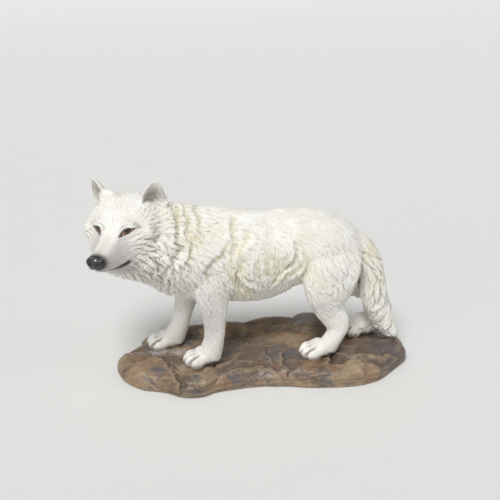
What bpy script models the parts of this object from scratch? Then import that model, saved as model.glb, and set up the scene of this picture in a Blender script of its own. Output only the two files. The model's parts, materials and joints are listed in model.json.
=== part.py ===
"""A wolf figurine: a white wolf standing on a slab of rock, cast in one piece of resin.

The wolf walks towards -X with its left side towards -Y and turns its head to that side. Z is up.
The origin is the middle of the slab's flat underside. Lengths are millimetres, and MM turns them
into Blender's metres where a mesh is made.
"""

import math

import bmesh
import bpy
import numpy as np
from mathutils import Matrix, Vector

MM = 0.001

# The slab of rock: its outline at the underside, its ground and the bank round it
BASE_OUTLINE = (
    (-118, 9), (-116, -4.5), (-110, -17), (-100, -26.5), (-89, -31), (-80, -35), (-71, -41.5),
    (-62, -44), (-52.5, -43), (-43, -39), (-24, -36), (-5, -35.5), (14, -38), (32, -42), (51, -44.5),
    (70, -44.5), (81, -41.5), (92, -35.5), (105, -23.5), (116, -12), (118.5, 1), (117, 13), (105, 24),
    (84, 33), (56, 38), (24, 39.5), (-8, 39), (-40, 38), (-70, 36), (-96, 29), (-110, 20),
)
BASE_GROUND = 13.0
BASE_BANK = 6.5
# How the bank rises: shares of the ground's height and of the bank's width
BANK_PROFILE = ((-0.4, 0.0), (0.0, 0.0), (0.3, 0.0), (0.62, 0.18), (0.92, 1.0), (1.0, 2.2))
# Rocks on the slab: middle x, y, height of the middle above the ground, then the radii
ROCKS = (
    (-30, 33, -1, 42, 8, 10),
    (12, 34, -1, 34, 8, 11),
    (43, 32, 0, 17, 9, 14),
    (66, 31, -4, 18, 9, 9),
    (-72, 30, -5, 26, 10, 8),
)

# How fine the casting is, and in how many steps each surface is evened out
VOXEL = 1.1
TRIANGLES = 11600
MASS_STEPS = 12
TUFT_STEPS = 1
GROUND_STEPS = 3
WHOLE_STEPS = 2

# The wolf's masses are placed by heights above the ground that it stands on.
# Trunk, from the shoulders to the rump: x, y, height of the middle, half height, half width
TRUNK = (
    (-76, -1.5, 98.5, 34.5, 26.5),
    (-63, 0, 93, 37, 26.5),
    (-50, 0, 89, 38.5, 26),
    (-36, 0, 86.9, 38.9, 25.5),
    (-22, 0, 85.8, 38.2, 25.5),
    (-8, 0, 84.8, 38.2, 25),
    (4, 0, 86.4, 36.4, 24),
    (14, 0, 89, 34, 22.5),
    (26, 0, 90.5, 32, 21.5),
    (40, 0, 90, 31, 22),
    (54, 0, 89.8, 26.7, 21.5),
    (66, 0, 88.8, 19.2, 18),
    (73, 0, 87.8, 12.4, 13),
)
# Neck: how far from the nape to the shoulders, then half height and half width
NECK = (
    (0.0, 18, 16),
    (0.27, 28, 22),
    (0.6, 31, 25),
)
# The point inside the head that the neck starts from: forward, left, up in the head's frame
NAPE = (-20.6, 0.0, -12.8)

# Legs: x and y of the paw's middle, the paw's turn towards the wolf's left in degrees, and its
# height to the others', then the leg from the body down: x and y from the paw's middle, height,
# radius fore and aft, radius across
LEGS = {
    "front_left": (
        (-52.5, -14.5, 14.0, 1.0),
        (
            (8.5, 1.5, 84, 18, 11),
            (10, 0, 70, 15.5, 10.5),
            (10.5, -0.5, 58, 13, 9),
            (11.3, -0.7, 47, 10.6, 8),
            (11.7, -0.7, 37, 9, 7.6),
            (11.7, -0.5, 27, 8.2, 7.4),
            (10.7, -0.3, 19, 8.2, 7.6),
            (9, 0, 12, 9, 8.2),
            (7, 0, 5, 9.5, 8.5),
        ),
    ),
    "front_right": (
        (-79.5, 17.0, 10.0, 1.0),
        (
            (27.5, -4, 84, 17, 11),
            (23.5, -2.5, 68, 14, 10),
            (21, -1.5, 55, 11, 8.6),
            (19, -1, 43, 9, 7.8),
            (16.5, -0.5, 32, 7.9, 7.4),
            (14, 0, 22, 7.7, 7.4),
            (11, 0, 14, 8.4, 7.8),
            (7.5, 0, 6, 9.5, 8.4),
        ),
    ),
    "hind_left": (
        (40.5, -14.5, 12.0, 1.0),
        (
            (12.5, 5.5, 96, 19, 10),
            (11.5, 2, 85, 23, 12.5),
            (10, 0, 73, 23, 12.8),
            (8.7, -0.7, 62, 20.5, 11.8),
            (8.1, -0.8, 52, 16.4, 10),
            (9.1, -0.7, 44.5, 12.8, 8.6),
            (12.1, -0.5, 37.5, 10.8, 7.6),
            (15.9, -0.5, 31, 10, 7),
            (17.5, -0.5, 25.5, 9, 6.7),
            (15.7, -0.3, 19.5, 7.8, 6.7),
            (12.5, 0, 13, 7.6, 7.3),
            (8.5, 0, 6, 8.5, 8),
        ),
    ),
    "hind_right": (
        (82.5, 17.0, 0.0, 1.35),
        (
            (-29.5, -8, 96, 18, 10),
            (-29.5, -4.5, 85, 22, 12.5),
            (-27.5, -2.5, 72, 20, 12.5),
            (-20.5, -1.5, 60, 15.5, 11),
            (-10.5, -0.8, 51, 12, 9.4),
            (1.5, -0.2, 43.5, 9.8, 8),
            (11.5, 0, 37, 8.8, 6.8),
            (16, 0, 30, 8.4, 6.8),
            (15.5, 0, 22, 8.4, 7.2),
            (12.5, 0, 14, 10, 8),
            (8.5, 0, 6, 11, 8.6),
        ),
    ),
}
# Tail, from the rump down: x, y, height, radius fore and aft, radius across
TAIL = (
    (60, 0, 93, 14, 12),
    (72, 0, 90.5, 11.5, 11),
    (80.5, 0, 82.5, 10, 10.5),
    (85.8, 0, 71.5, 10, 10.2),
    (88.4, 0, 59.5, 10.4, 10.4),
    (90, 0, 47.5, 11, 10.6),
    (92.8, 0.5, 36, 10.6, 10.2),
    (97.5, 0.8, 25.5, 9.4, 9),
    (101.8, 1, 16, 8.5, 8),
    (107, 1, 8, 6.2, 5.8),
    (111, 1, 2.5, 3, 3),
)

# One paw, from heel to toe tips: forward, height of the middle, half height, half width
PAW_SHAPE = (
    (-14, 4.0, 3.4, 5.0),
    (-9, 6.0, 6.4, 8.0),
    (-2.5, 7.0, 7.2, 9.6),
    (3, 5.8, 6.0, 9.8),
    (7, 4.2, 4.4, 8.4),
)
# Toes: forward, to the left, height, then the radii
TOES = (
    (4.5, -7.7, 4.4, 5.8, 3.1, 5.2),
    (7.2, -2.8, 5.0, 6.2, 3.2, 5.8),
    (7.2, 2.8, 5.0, 6.2, 3.2, 5.8),
    (4.5, 7.7, 4.4, 5.8, 3.1, 5.2),
)

# The head has its own frame: forward along the muzzle, left, and up, from between the eyes
HEAD_PLACE = (-114.4, -28.0, 123.3)
HEAD_YAW = 65.0
HEAD_PITCH = -4.4
HEAD_ROLL = 2.5
# Half sections from nose to nape: forward, then (left, up) from the top round to the underside
HEAD = (
    (30.6, (
        (0, -10.6), (2.6, -10.9), (4.8, -12.2), (5.8, -14.2),
        (5.5, -16), (4.4, -17.6), (2.5, -18.6), (0, -19),
    )),
    (28, (
        (0, -9), (3.6, -9.4), (6.6, -11.2), (7.8, -14),
        (7.7, -16.6), (6.4, -19), (3.6, -20.5), (0, -21),
    )),
    (22.5, (
        (0, -7.6), (3.8, -8.1), (7, -10.4), (8.9, -14),
        (9.5, -17.6), (8.5, -21), (5, -22.8), (0, -23.3),
    )),
    (16, (
        (0, -5.4), (4.2, -6.1), (7.6, -9), (9.8, -13.6),
        (10.6, -18.4), (9.4, -22.4), (6, -24.8), (0, -25.4),
    )),
    (9, (
        (0, -2.6), (4.8, -3.4), (8.6, -6.8), (11.5, -12.6),
        (12.4, -18.4), (11, -24), (7.2, -28), (0, -29),
    )),
    (3, (
        (0, 1.6), (5.6, 0.8), (10.5, -3.4), (14.6, -9.8),
        (15.6, -18), (13.6, -26), (8.4, -30), (0, -31),
    )),
    (-4, (
        (0, 7), (7.6, 6.8), (14.8, 3.6), (20.4, -4),
        (20.6, -14), (18.2, -26), (11.4, -32.4), (0, -34),
    )),
    (-10, (
        (0, 12), (8.6, 11.8), (17.4, 8), (26, -0.4),
        (24.6, -13), (22, -27), (14.4, -37.4), (0, -39.4),
    )),
    (-17, (
        (0, 17), (9.4, 16.6), (18.4, 11.6), (28.8, 0.6),
        (28.6, -14), (25.4, -29), (17, -41.6), (0, -43.4),
    )),
    (-25, (
        (0, 19.6), (10, 19.2), (19.2, 14), (31, 0.4),
        (32, -15), (28, -31), (18.6, -44.4), (0, -46.4),
    )),
    (-33, (
        (0, 20), (10, 19.4), (19.4, 13.8), (31.4, -0.6),
        (33, -16), (28.6, -32), (19, -45.6), (0, -47.6),
    )),
    (-42, (
        (0, 18), (10, 17), (19.2, 10.4), (30, -3),
        (31.6, -17), (27.4, -32), (18, -44.6), (0, -47),
    )),
    (-50, (
        (0, 11), (7, 10), (14, 4), (21, -8),
        (22, -18), (19.4, -30), (13, -39), (0, -42),
    )),
)
# Ears: sections from the root to the tip: forward, left, up of the middle, half width, depth
EAR = (
    (-27.0, 20.6, 8.0, 10.4, 17.0),
    (-26.3, 21.4, 15.0, 10.0, 16.0),
    (-25.5, 22.3, 21.0, 8.9, 13.5),
    (-24.6, 23.2, 25.5, 7.2, 10.5),
    (-23.8, 24.0, 29.2, 5.0, 7.0),
    (-23.1, 24.6, 31.7, 2.8, 4.0),
    (-22.8, 24.8, 32.9, 1.1, 1.6),
)
EAR_FACING = 36.0
EAR_WALL = 2.4
EAR_POINTS = 11
# Near the tip the wall and the cup are at most these shares of the depth and of the half width
EAR_TIP_WALL = 0.45
EAR_TIP_CUP = 0.4

# Masses of the face, the same on both sides: forward, left, up, then the radii
FACE_MASSES = (
    (28.6, 0.0, -13.4, 3.6, 7.6, 4.8),
    (19.5, 4.9, -17.6, 6.5, 4.4, 4.4),
    (-3.6, 11.4, 4.6, 4.2, 6.2, 3.0),
    (-9.5, 23.4, -1.6, 5.0, 4.8, 5.2),
    (-14.0, 18.5, -27.0, 8.0, 7.5, 9.0),
)
EYE_PLACE = (-1.2, 11.4, -0.2)
EYE_RADII = (3.6, 4.9, 3.1)
# The eyes rise towards their outer corners and face outwards, in degrees
EYE_SLANT = 24.0
EYE_TURN = 18.0
# The socket is lower than it is wide
EYE_SOCKET_FLATNESS = 0.75
EYE_SOCKET = 7.0
EYE_SOCKET_DEPTH = 2.2
# The mouth's line, cut on both sides: forward, left, up
MOUTH = ((25, 6, -21.6), (21, 8.2, -22.2), (16.5, 9.8, -22.6), (10, 11.4, -22.4), (4.5, 13.8, -20.9))
MOUTH_DEPTH = 2.0
MOUTH_WIDTH = 1.9
# The furrow up the forehead, and the one under each cheekbone
BROW_FURROW = ((4, 0, 3), (-4, 0, 8), (-12, 0, 14))
BROW_FURROW_DEPTH = 1.0
BROW_FURROW_WIDTH = 3.0
# The ruff is pushed to the near side by the turn of the head, from below this height and behind
# the eyes, and it leans most this far down and back
RUFF_LEAN = 6.0
RUFF_TOP = -10.0
RUFF_DEPTH = 35.0
RUFF_BACK = 20.0

# Folds of the coat seen from the side, cut alike on both flanks: how far the surface rises, how wide
# the fold is, and its course as x and height above the ground. A lip steps from high to low across its
# course, high on the left where it rises and on the right where it falls. A furrow is a groove, or a
# ridge where it rises.
LIPS = (
    (-2.6, 6, ((-73, 136), (-69, 122), (-70, 110), (-75, 95), (-83, 84))),
    (-2.0, 5, ((-62, 136), (-61, 125), (-62, 115), (-59, 107), (-63, 96), (-66, 85))),
    (-1.8, 4, ((-69, 139), (-67, 129), (-69, 121))),
    (-1.5, 5, ((-55, 134), (-53, 124), (-49, 113))),
    (-2.6, 7, ((-29, 109), (-35, 102), (-42, 95), (-48, 87), (-47, 81), (-44, 75))),
    (-1.8, 5, ((-27, 129), (-27, 116), (-27, 102), (-31, 97))),
    (1.8, 5, ((-21, 114), (-22, 101), (-24, 91), (-23, 81), (-25, 74))),
    (-1.6, 4.5, ((-33, 91), (-31, 83), (-29, 74))),
    (-1.6, 4.5, ((-24, 84), (-25, 75), (-22, 67))),
    (2.0, 5.5, ((-10, 113), (-15, 107), (-19, 101), (-17, 94), (-13, 85))),
    (-2.0, 5, ((21, 105), (18, 100), (19, 92), (16, 86), (9, 77), (2, 69), (-3, 64))),
    (1.4, 4.5, ((29, 88), (24, 81), (19, 75), (12, 69))),
    (-1.8, 5, ((24, 97), (29, 87), (27, 78), (24, 70))),
    (-1.5, 4.5, ((75, 85), (73, 74), (70, 65), (66, 56))),
)
FURROWS = (
    (-2.0, 4, ((-21, 96), (-21, 84), (-22, 77), (-19, 70), (-13, 63))),
    (1.6, 3, ((-17, 79), (-13, 72), (-8, 67), (-3, 61))),
    (1.6, 3, ((17, 83), (11, 76), (5, 69), (-2, 62))),
    (-1.6, 3.5, ((18, 90), (14, 83), (7, 75), (1, 68))),
    (-1.4, 4, ((2, 96), (1, 84), (0, 72))),
    (-1.3, 3.5, ((8, 93), (7, 84), (4, 75))),
)

# How blunt a lip's step is, the shares of the height above and below it, how much faster the low
# side fades, and how a fold fades towards its ends
FOLD_BLUNTNESS = 1.6
FOLD_ABOVE = 0.9
FOLD_BELOW = 0.7
FOLD_LOW_WIDTH = 0.6
FOLD_END = 0.25
# The folds start this far from the middle plane and are whole from there on
FOLD_START = 5.0
FOLD_WHOLE = 13.0
# The folds' courses waver: how far, and how long the waves are
FOLD_WAVER = 1.5
FOLD_WAVES = 17.0
FOLD_SEED = 3

# Seams and steps of the rock, as x and y: how far the ground rises, how wide, and the course
SEAMS = (
    (-1.3, 2.6, ((14, -13), (14, -29), (17, -38), (26, -44), (40, -50))),
    (-1.3, 2.6, ((51, -20), (50, -33), (63, -31), (74, -31), (86, -36), (90, -46))),
    (-1.2, 2.4, ((60, -15), (70, -20), (81, -21), (89, -23), (97, -20), (108, -20))),
    (-1.0, 2.4, ((74, -31), (75, -42), (71, -52))),
    (-1.2, 2.6, ((1, -7), (4, -28), (10, -39), (14, -50))),
    (-1.5, 2.6, ((-81, -12), (-72, -32), (-71, -46))),
    (-1.1, 2.6, ((-65, -30), (-55, -30), (-42, -21), (-27, -13), (-15, -18))),
    (-1.1, 2.6, ((-107, 9), (-96, 5), (-81, -9), (-73, -20))),
    (-1.2, 3.0, ((-96, -28), (-89, -33), (-83, -37))),
)
# Share of a seam's height that is groove, and how far its step reaches to its width
SEAM_GROOVE = 0.6
SEAM_REACH = 3.0
# Broad swellings of the rock: x, y, then how far they reach and how high they rise
SWELLS = (
    (-88, -16, 18, 2.2),
    (-52, -32, 16, 1.6),
    (-10, -20, 20, 1.8),
    (30, -26, 18, 1.8),
    (78, -30, 20, 1.6),
    (96, -8, 18, 2.0),
    (20, 14, 26, 2.2),
    (-70, 20, 26, 2.0),
)

# How the hair lies: x, y, height above the ground, then the direction from root to tip
LIE = (
    (-114, -46, 112, 0.4, 0.8, -0.1),
    (-114, -28, 130, 0.5, 0.8, 0.6),
    (-100, -30, 122, 0.9, 0.5, -0.3),
    (-92, -42, 104, 0.6, 0.2, -0.8),
    (-118, -18, 122, 0.1, 0.9, -0.2),
    (-100, -28, 84, 0.2, 0.1, -1),
    (-90, -12, 136, 0.9, 0.5, 0),
    (-80, -24, 112, 0.45, 0, -0.9),
    (-90, -12, 76, 0.3, 0, -1),
    (-60, -24, 118, 0.6, 0, -0.8),
    (-60, 0, 130, 1, 0, -0.05),
    (-20, 0, 124, 1, 0, 0),
    (30, 0, 122, 1, 0, 0),
    (60, 0, 116, 1, 0, -0.4),
    (-44, -24, 96, 0.7, 0, -0.8),
    (-44, -24, 70, 0.35, 0, -1),
    (-20, -24, 108, 0.75, 0, -0.7),
    (-22, -24, 78, 0.3, 0, -1),
    (-5, -24, 106, 0.7, 0, -0.7),
    (-6, -22, 74, 0.25, 0, -1),
    (12, -22, 104, 0.6, 0, -0.8),
    (12, -20, 80, -0.45, 0, -0.9),
    (30, -22, 108, 0.7, 0, -0.7),
    (34, -22, 84, 0.3, 0, -0.95),
    (52, -24, 104, 0.55, 0, -0.85),
    (52, -26, 76, 0.4, 0, -0.95),
    (66, -18, 96, 0.5, 0, -0.9),
    (46, -24, 52, 0.5, 0, -0.9),
    (58, -20, 24, 0, 0, -1),
    (44, -16, 6, -0.9, 0, -0.3),
    (-42, -22, 40, 0.15, 0, -1),
    (-54, -16, 6, -0.9, 0, -0.3),
    (-62, 20, 40, 0.1, 0, -1),
    (90, 0, 84, 0.5, 0, -0.85),
    (98, 0, 60, 0.1, 0, -1),
    (100, 0, 30, 0.35, 0, -0.95),
    (90, 20, 36, 0.3, 0, -0.9),
)
# A guide's pull falls off with distance: where it starts to, and how fast
LIE_NEAR = 6.3
LIE_FALL = 3.4
# Tufts: how far apart, and their length, width and height on the coat
TUFT_SPACING = 9.0
TUFT_LENGTH = 16.0
TUFT_WIDTH = 5.2
TUFT_HEIGHT = 2.3
TUFT_SEED = 11
# How the tufts differ: shares of their length and height, and how far they bend for their length
TUFT_LENGTHS = (0.8, 1.15)
TUFT_HEIGHTS = (0.7, 1.2)
TUFT_BENDS = (-0.15, 0.15)
# How low a tuft starts, as a share of its height, and how far the coat is sunk under the tufts
TUFT_ROOT = 0.45
TUFT_SINK = 0.4
# Where the coat turns shaggy: on the head from the face back, below the ears, behind the head as x,
# above the shins as height, and round the tail's middle line
SHAGGY_HEAD = (-7.0, -15.0)
SHAGGY_EARS = (20.0, 15.0)
SHAGGY_BODY = (-92.0, -82.0)
SHAGGY_SHINS = (52.0, 66.0)
SHAGGY_TAIL = (16.0, 8.0)
# Where it turns smoother again: up the back as height, and behind the neck as x
SMOOTH_BACK = (98.0, 122.0)
SMOOTH_RUMP = (-62.0, -48.0)
BACK_SMOOTHNESS = 0.55

# How the lofts are meshed: points round a limb and a paw, and rings between two sections
SIDES = 28
PAW_SIDES = 24
SECTION_STEPS = 4
OUTLINE_STEPS = 5
BALL_SEGMENTS = 24
BALL_RINGS = 14
# How much narrower the trunk is at its underside, and how sharply it narrows
TRUNK_KEEL = 0.25
KEEL_SHARPNESS = 1.5

WHITE_PAINT = (0.86, 0.84, 0.78, 1.0)
PAINT_ROUGHNESS = 0.5


def clear_scene():
    """Removes whatever the scene starts with."""
    for item in list(bpy.data.objects):
        bpy.data.objects.remove(item)


def smooth_rows(rows, steps):
    """Catmull-Rom through the rows of an array, with so many steps between neighbours."""
    rows = np.asarray(rows, float)
    padded = np.concatenate([2 * rows[:1] - rows[1:2], rows, 2 * rows[-1:] - rows[-2:-1]])
    made = []
    for i in range(len(rows) - 1):
        a, b, c, d = padded[i : i + 4]
        for t in np.arange(steps) / steps:
            made.append(
                0.5 * (2 * b + (c - a) * t + (2 * a - 5 * b + 4 * c - d) * t * t
                       + (3 * b - a - 3 * c + d) * t ** 3)
            )
    made.append(rows[-1])
    return np.array(made)


def tube_mesh(name, rings):
    """A closed mesh through rings of points, each ring an array of the same length."""
    count, sides = len(rings), len(rings[0])
    points = [tuple(p) for ring in rings for p in np.asarray(ring) * MM]
    faces = []
    for i in range(count - 1):
        for j in range(sides):
            k = (j + 1) % sides
            faces.append((i * sides + j, i * sides + k, (i + 1) * sides + k, (i + 1) * sides + j))
    faces.append(tuple(reversed(range(sides))))
    faces.append(tuple((count - 1) * sides + j for j in range(sides)))
    mesh = bpy.data.meshes.new(name)
    mesh.from_pydata(points, [], faces)
    shape = bmesh.new()
    shape.from_mesh(mesh)
    bmesh.ops.recalc_face_normals(shape, faces=shape.faces)
    shape.to_mesh(mesh)
    shape.free()
    made = bpy.data.objects.new(name, mesh)
    bpy.context.scene.collection.objects.link(made)
    return made


def limb(name, stations, place=(0, 0), keel=0.0):
    """A tube through stations of x, y, height, radius in the X-Z plane and radius across.

    The stations' x and y start from a place, and keel narrows the lower half of each ring.
    """
    path = smooth_rows(stations, SECTION_STEPS)
    centre = path[:, :3] + (*place, BASE_GROUND)
    along = np.gradient(centre, axis=0)
    along /= np.linalg.norm(along, axis=1)[:, None]
    across = np.array((0.0, 1.0, 0.0))
    angles = np.arange(SIDES) * 2 * math.pi / SIDES
    rings = []
    for middle, direction, radii in zip(centre, along, path[:, 3:]):
        outward = np.cross(direction, across)
        outward /= np.linalg.norm(outward)
        rise = np.sin(angles)
        narrow = 1 - keel * np.clip(-rise, 0, 1) ** KEEL_SHARPNESS
        ring = middle + np.outer(radii[0] * rise, outward)
        ring += np.outer(radii[1] * np.cos(angles) * narrow, across)
        rings.append(ring)
    return tube_mesh(name, rings)


def trunk():
    """The neck and the trunk as one loft, which starts inside the head."""
    nape = from_head([NAPE])[0] - (0, 0, BASE_GROUND)
    shoulders = np.array(TRUNK[0][:3])
    neck = [(*(nape + share * (shoulders - nape)), *radii) for share, *radii in NECK]
    return limb("trunk", neck + list(TRUNK), keel=TRUNK_KEEL)


def ball(name, centre, radii, turn=None):
    """An ellipsoid."""
    bpy.ops.mesh.primitive_uv_sphere_add(segments=BALL_SEGMENTS, ring_count=BALL_RINGS, radius=1.0)
    made = bpy.context.object
    made.name = name
    place = Matrix.Translation(Vector(centre) * MM)
    size = Matrix.Diagonal((radii[0] * MM, radii[1] * MM, radii[2] * MM, 1))
    made.matrix_world = place @ (turn or Matrix.Identity(4)) @ size
    return made


def head_matrix():
    """Rows are the head's forward, left and up directions in the wolf's frame."""
    yaw, pitch, roll = (math.radians(v) for v in (HEAD_YAW, HEAD_PITCH, HEAD_ROLL))
    forward = np.array((-math.cos(yaw), -math.sin(yaw), 0.0))
    left = np.array((math.sin(yaw), -math.cos(yaw), 0.0))
    up = np.array((0.0, 0.0, 1.0))
    forward, up = (
        math.cos(pitch) * forward - math.sin(pitch) * up,
        math.sin(pitch) * forward + math.cos(pitch) * up,
    )
    left, up = (
        math.cos(roll) * left + math.sin(roll) * up,
        -math.sin(roll) * left + math.cos(roll) * up,
    )
    return np.stack([forward, left, up])


def head_turn():
    """The head's rotation."""
    return Matrix(head_matrix().tolist()).transposed().to_4x4()


def into_head(points):
    """Places in millimetres, as points of the head's frame."""
    return (points - (np.array(HEAD_PLACE) + (0, 0, BASE_GROUND))) @ head_matrix().T


def from_head(points):
    """Points of the head's frame, as places in millimetres."""
    origin = np.array(HEAD_PLACE) + (0, 0, BASE_GROUND)
    return origin + np.asarray(points, float) @ head_matrix()


def skull():
    """The head, muzzle and cheeks as one loft."""
    rows = []
    for forward, half in HEAD:
        side = smooth_rows(half, SECTION_STEPS)
        loop = np.concatenate([side, side[-2:0:-1] * (-1, 1)])
        low = np.clip((RUFF_TOP - loop[:, 1]) / RUFF_DEPTH, 0, 1) * RUFF_LEAN
        low *= np.clip(-forward / RUFF_BACK, 0, 1)
        loop[:, 0] += low
        loop[:, 1] += np.where(loop[:, 0] < 0, 0.5, 0.0) * low
        rows.append(np.column_stack([np.full(len(loop), forward), loop]).ravel())
    rings = [from_head(row.reshape(-1, 3)) for row in smooth_rows(rows, SECTION_STEPS)]
    return tube_mesh("skull", rings)


def face():
    """Nose, lips, brows and cheek tufts, as masses on the skull."""
    made = []
    for forward, left, up, *radii in FACE_MASSES:
        for side in (1, -1) if left else (1,):
            made.append(ball("face", from_head([(forward, side * left, up)])[0], radii, head_turn()))
    return made


def eyes():
    """The two eyeballs, slanted up to their outer corners."""
    made = []
    for side in (1, -1):
        slant = Matrix.Rotation(math.radians(side * EYE_SLANT), 4, "X")
        turn = Matrix.Rotation(math.radians(side * EYE_TURN), 4, "Z")
        forward, left, up = EYE_PLACE
        place = from_head([(forward, side * left, up)])[0]
        made.append(ball("eye", place, EYE_RADII, head_turn() @ slant @ turn))
    return made


def face_carving(points):
    """How far the mouth, the eye sockets and the brow furrow move each vertex along its normal."""
    head = into_head(points)
    best = along_course(head, BROW_FURROW)[0]
    moved = -BROW_FURROW_DEPTH * np.exp(-((best / BROW_FURROW_WIDTH) ** 2))
    for side in (1, -1):
        turned = head * (1, side, 1)
        best = along_course(turned, MOUTH)[0]
        moved -= MOUTH_DEPTH * np.exp(-((best / MOUTH_WIDTH) ** 2))
        socket = np.linalg.norm((turned - EYE_PLACE) / (1, 1, EYE_SOCKET_FLATNESS), axis=1)
        moved -= EYE_SOCKET_DEPTH * np.exp(-((socket / EYE_SOCKET) ** 4))
    return moved


def ear(side):
    """One ear: a cupped shell that opens forwards and outwards. side is 1 left or -1 right."""
    facing = math.radians(EAR_FACING)
    opening = np.array((math.cos(facing), side * math.sin(facing), 0.0))
    across = np.array((-math.sin(facing), side * math.cos(facing), 0.0))
    angles = np.linspace(0, math.pi, EAR_POINTS)
    rings = []
    for forward, left, up, half_width, depth in smooth_rows(EAR, SECTION_STEPS):
        middle = np.array((forward, side * left, up))
        wall = min(EAR_WALL, depth * EAR_TIP_WALL)
        back = middle - np.outer(np.sin(angles) * depth / 2, opening)
        back += np.outer(np.cos(angles) * half_width, across)
        inner = max(half_width - wall, half_width * EAR_TIP_CUP)
        front = middle - np.outer(np.sin(angles[::-1]) * (depth / 2 - wall), opening)
        front += np.outer(np.cos(angles[::-1]) * inner, across)
        rings.append(from_head(np.concatenate([back, front])))
    return tube_mesh("ear", rings)


def paw(name):
    """A paw with four toes."""
    x, y, turn, tall = LEGS[name][0]
    angle = math.radians(turn)
    forward = np.array((-math.cos(angle), -math.sin(angle), 0.0))
    left = np.array((math.sin(angle), -math.cos(angle), 0.0))
    up = np.array((0.0, 0.0, 1.0))
    origin = np.array((x, y, BASE_GROUND))
    angles = np.arange(PAW_SIDES) * 2 * math.pi / PAW_SIDES
    rings = []
    for ahead, height, half_height, half_width in smooth_rows(PAW_SHAPE, SECTION_STEPS):
        ring = origin + forward * ahead + up * height * tall
        ring = ring + np.outer(np.sin(angles) * half_height * tall, up)
        ring += np.outer(np.cos(angles) * half_width, left)
        rings.append(ring)
    made = [tube_mesh(name, rings)]
    frame = Matrix((forward, left, up)).transposed().to_4x4()
    for ahead, aside, height, *radii in TOES:
        centre = origin + forward * ahead + left * aside + up * height
        made.append(ball(name + "_toe", centre, radii, frame))
    return made


def slab():
    """The rock slab, down past its underside, which is cut flat at the end."""
    outline = np.asarray(BASE_OUTLINE, float)
    count = len(outline)
    outline = smooth_rows(np.concatenate([outline[-3:], outline, outline[:3]]), OUTLINE_STEPS)
    outline = outline[3 * OUTLINE_STEPS : (3 + count) * OUTLINE_STEPS]
    rings = []
    away = outline - outline.mean(0)
    away /= np.linalg.norm(away, axis=1)[:, None]
    for rise, inset in BANK_PROFILE:
        height = np.full(len(outline), rise * BASE_GROUND)
        rings.append(np.column_stack([outline - away * inset * BASE_BANK, height]))
    return tube_mesh("slab", rings)


def fuse(items, voxel):
    """One mesh around everything, at the given voxel size."""
    bpy.ops.object.select_all(action="DESELECT")
    for item in items:
        item.select_set(True)
    bpy.context.view_layer.objects.active = items[0]
    bpy.ops.object.transform_apply(location=True, rotation=True, scale=True)
    bpy.ops.object.join()
    joined = bpy.context.object
    remesh = joined.modifiers.new("fuse", "REMESH")
    remesh.mode = "VOXEL"
    remesh.voxel_size = voxel * MM
    remesh.adaptivity = 0.0
    graph = bpy.context.evaluated_depsgraph_get()
    mesh = bpy.data.meshes.new_from_object(joined.evaluated_get(graph))
    bpy.data.objects.remove(joined)
    return mesh


def coordinates(mesh, kind="co"):
    """The vertices' places in millimetres, or their normals."""
    values = np.empty(len(mesh.vertices) * 3)
    if kind == "co":
        mesh.vertices.foreach_get("co", values)
        return values.reshape(-1, 3) / MM
    mesh.vertex_normals.foreach_get("vector", values)
    return values.reshape(-1, 3)


def set_coordinates(mesh, points):
    """Moves the vertices to places in millimetres."""
    mesh.vertices.foreach_set("co", (points * MM).ravel())
    mesh.update()


def neighbour_mean(mesh, values):
    """For each vertex, the mean of the values of the vertices that edges lead to."""
    count = len(mesh.vertices)
    ends = np.empty(len(mesh.edges) * 2, np.int64)
    mesh.edges.foreach_get("vertices", ends)
    a, b = ends.reshape(-1, 2).T
    degree = np.bincount(a, minlength=count) + np.bincount(b, minlength=count)
    total = np.empty_like(values)
    for axis in range(values.shape[1]):
        total[:, axis] = np.bincount(a, values[b, axis], count)
        total[:, axis] += np.bincount(b, values[a, axis], count)
    return total / degree[:, None]


def relax(mesh, steps):
    """Evens out a mesh: each vertex moves half the way to the middle of its neighbours."""
    points = coordinates(mesh)
    for _ in range(steps):
        points = 0.5 * points + 0.5 * neighbour_mean(mesh, points)
    set_coordinates(mesh, points)


def along_course(points, course):
    """Signed distance to a course (positive on its left) and how far along it, from 0 to 1."""
    course = smooth_rows(course, 4)
    best = np.full(len(points), np.inf)
    signed = np.zeros(len(points))
    share = np.zeros(len(points))
    pieces = len(course) - 1
    for i in range(pieces):
        start, step = course[i], course[i + 1] - course[i]
        offset = points - start
        t = np.clip(offset @ step / (step @ step), 0, 1)
        apart = offset - t[:, None] * step
        distance = np.linalg.norm(apart, axis=1)
        closer = distance < best
        side = np.sign(step[0] * offset[:, 1] - step[1] * offset[:, 0])
        signed = np.where(closer, side * distance, signed)
        share = np.where(closer, (i + t) / pieces, share)
        best = np.minimum(best, distance)
    return best, signed, share


def ease(values, start, end):
    """A smooth rise from 0 at start to 1 at end."""
    t = np.clip((values - start) / (end - start), 0, 1)
    return t * t * (3 - 2 * t)


def waver(points, wavelength, seed):
    """A smooth noise of a few waves, mostly between -1 and 1."""
    rng = np.random.default_rng(seed)
    total = np.zeros(len(points))
    waves = 7
    for _ in range(waves):
        way = rng.normal(size=3)
        turns = 2 * math.pi / wavelength * rng.uniform(0.6, 1.5)
        total += np.sin(points @ (way / np.linalg.norm(way)) * turns + rng.uniform(0, 2 * math.pi))
    return total / math.sqrt(waves)


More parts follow.
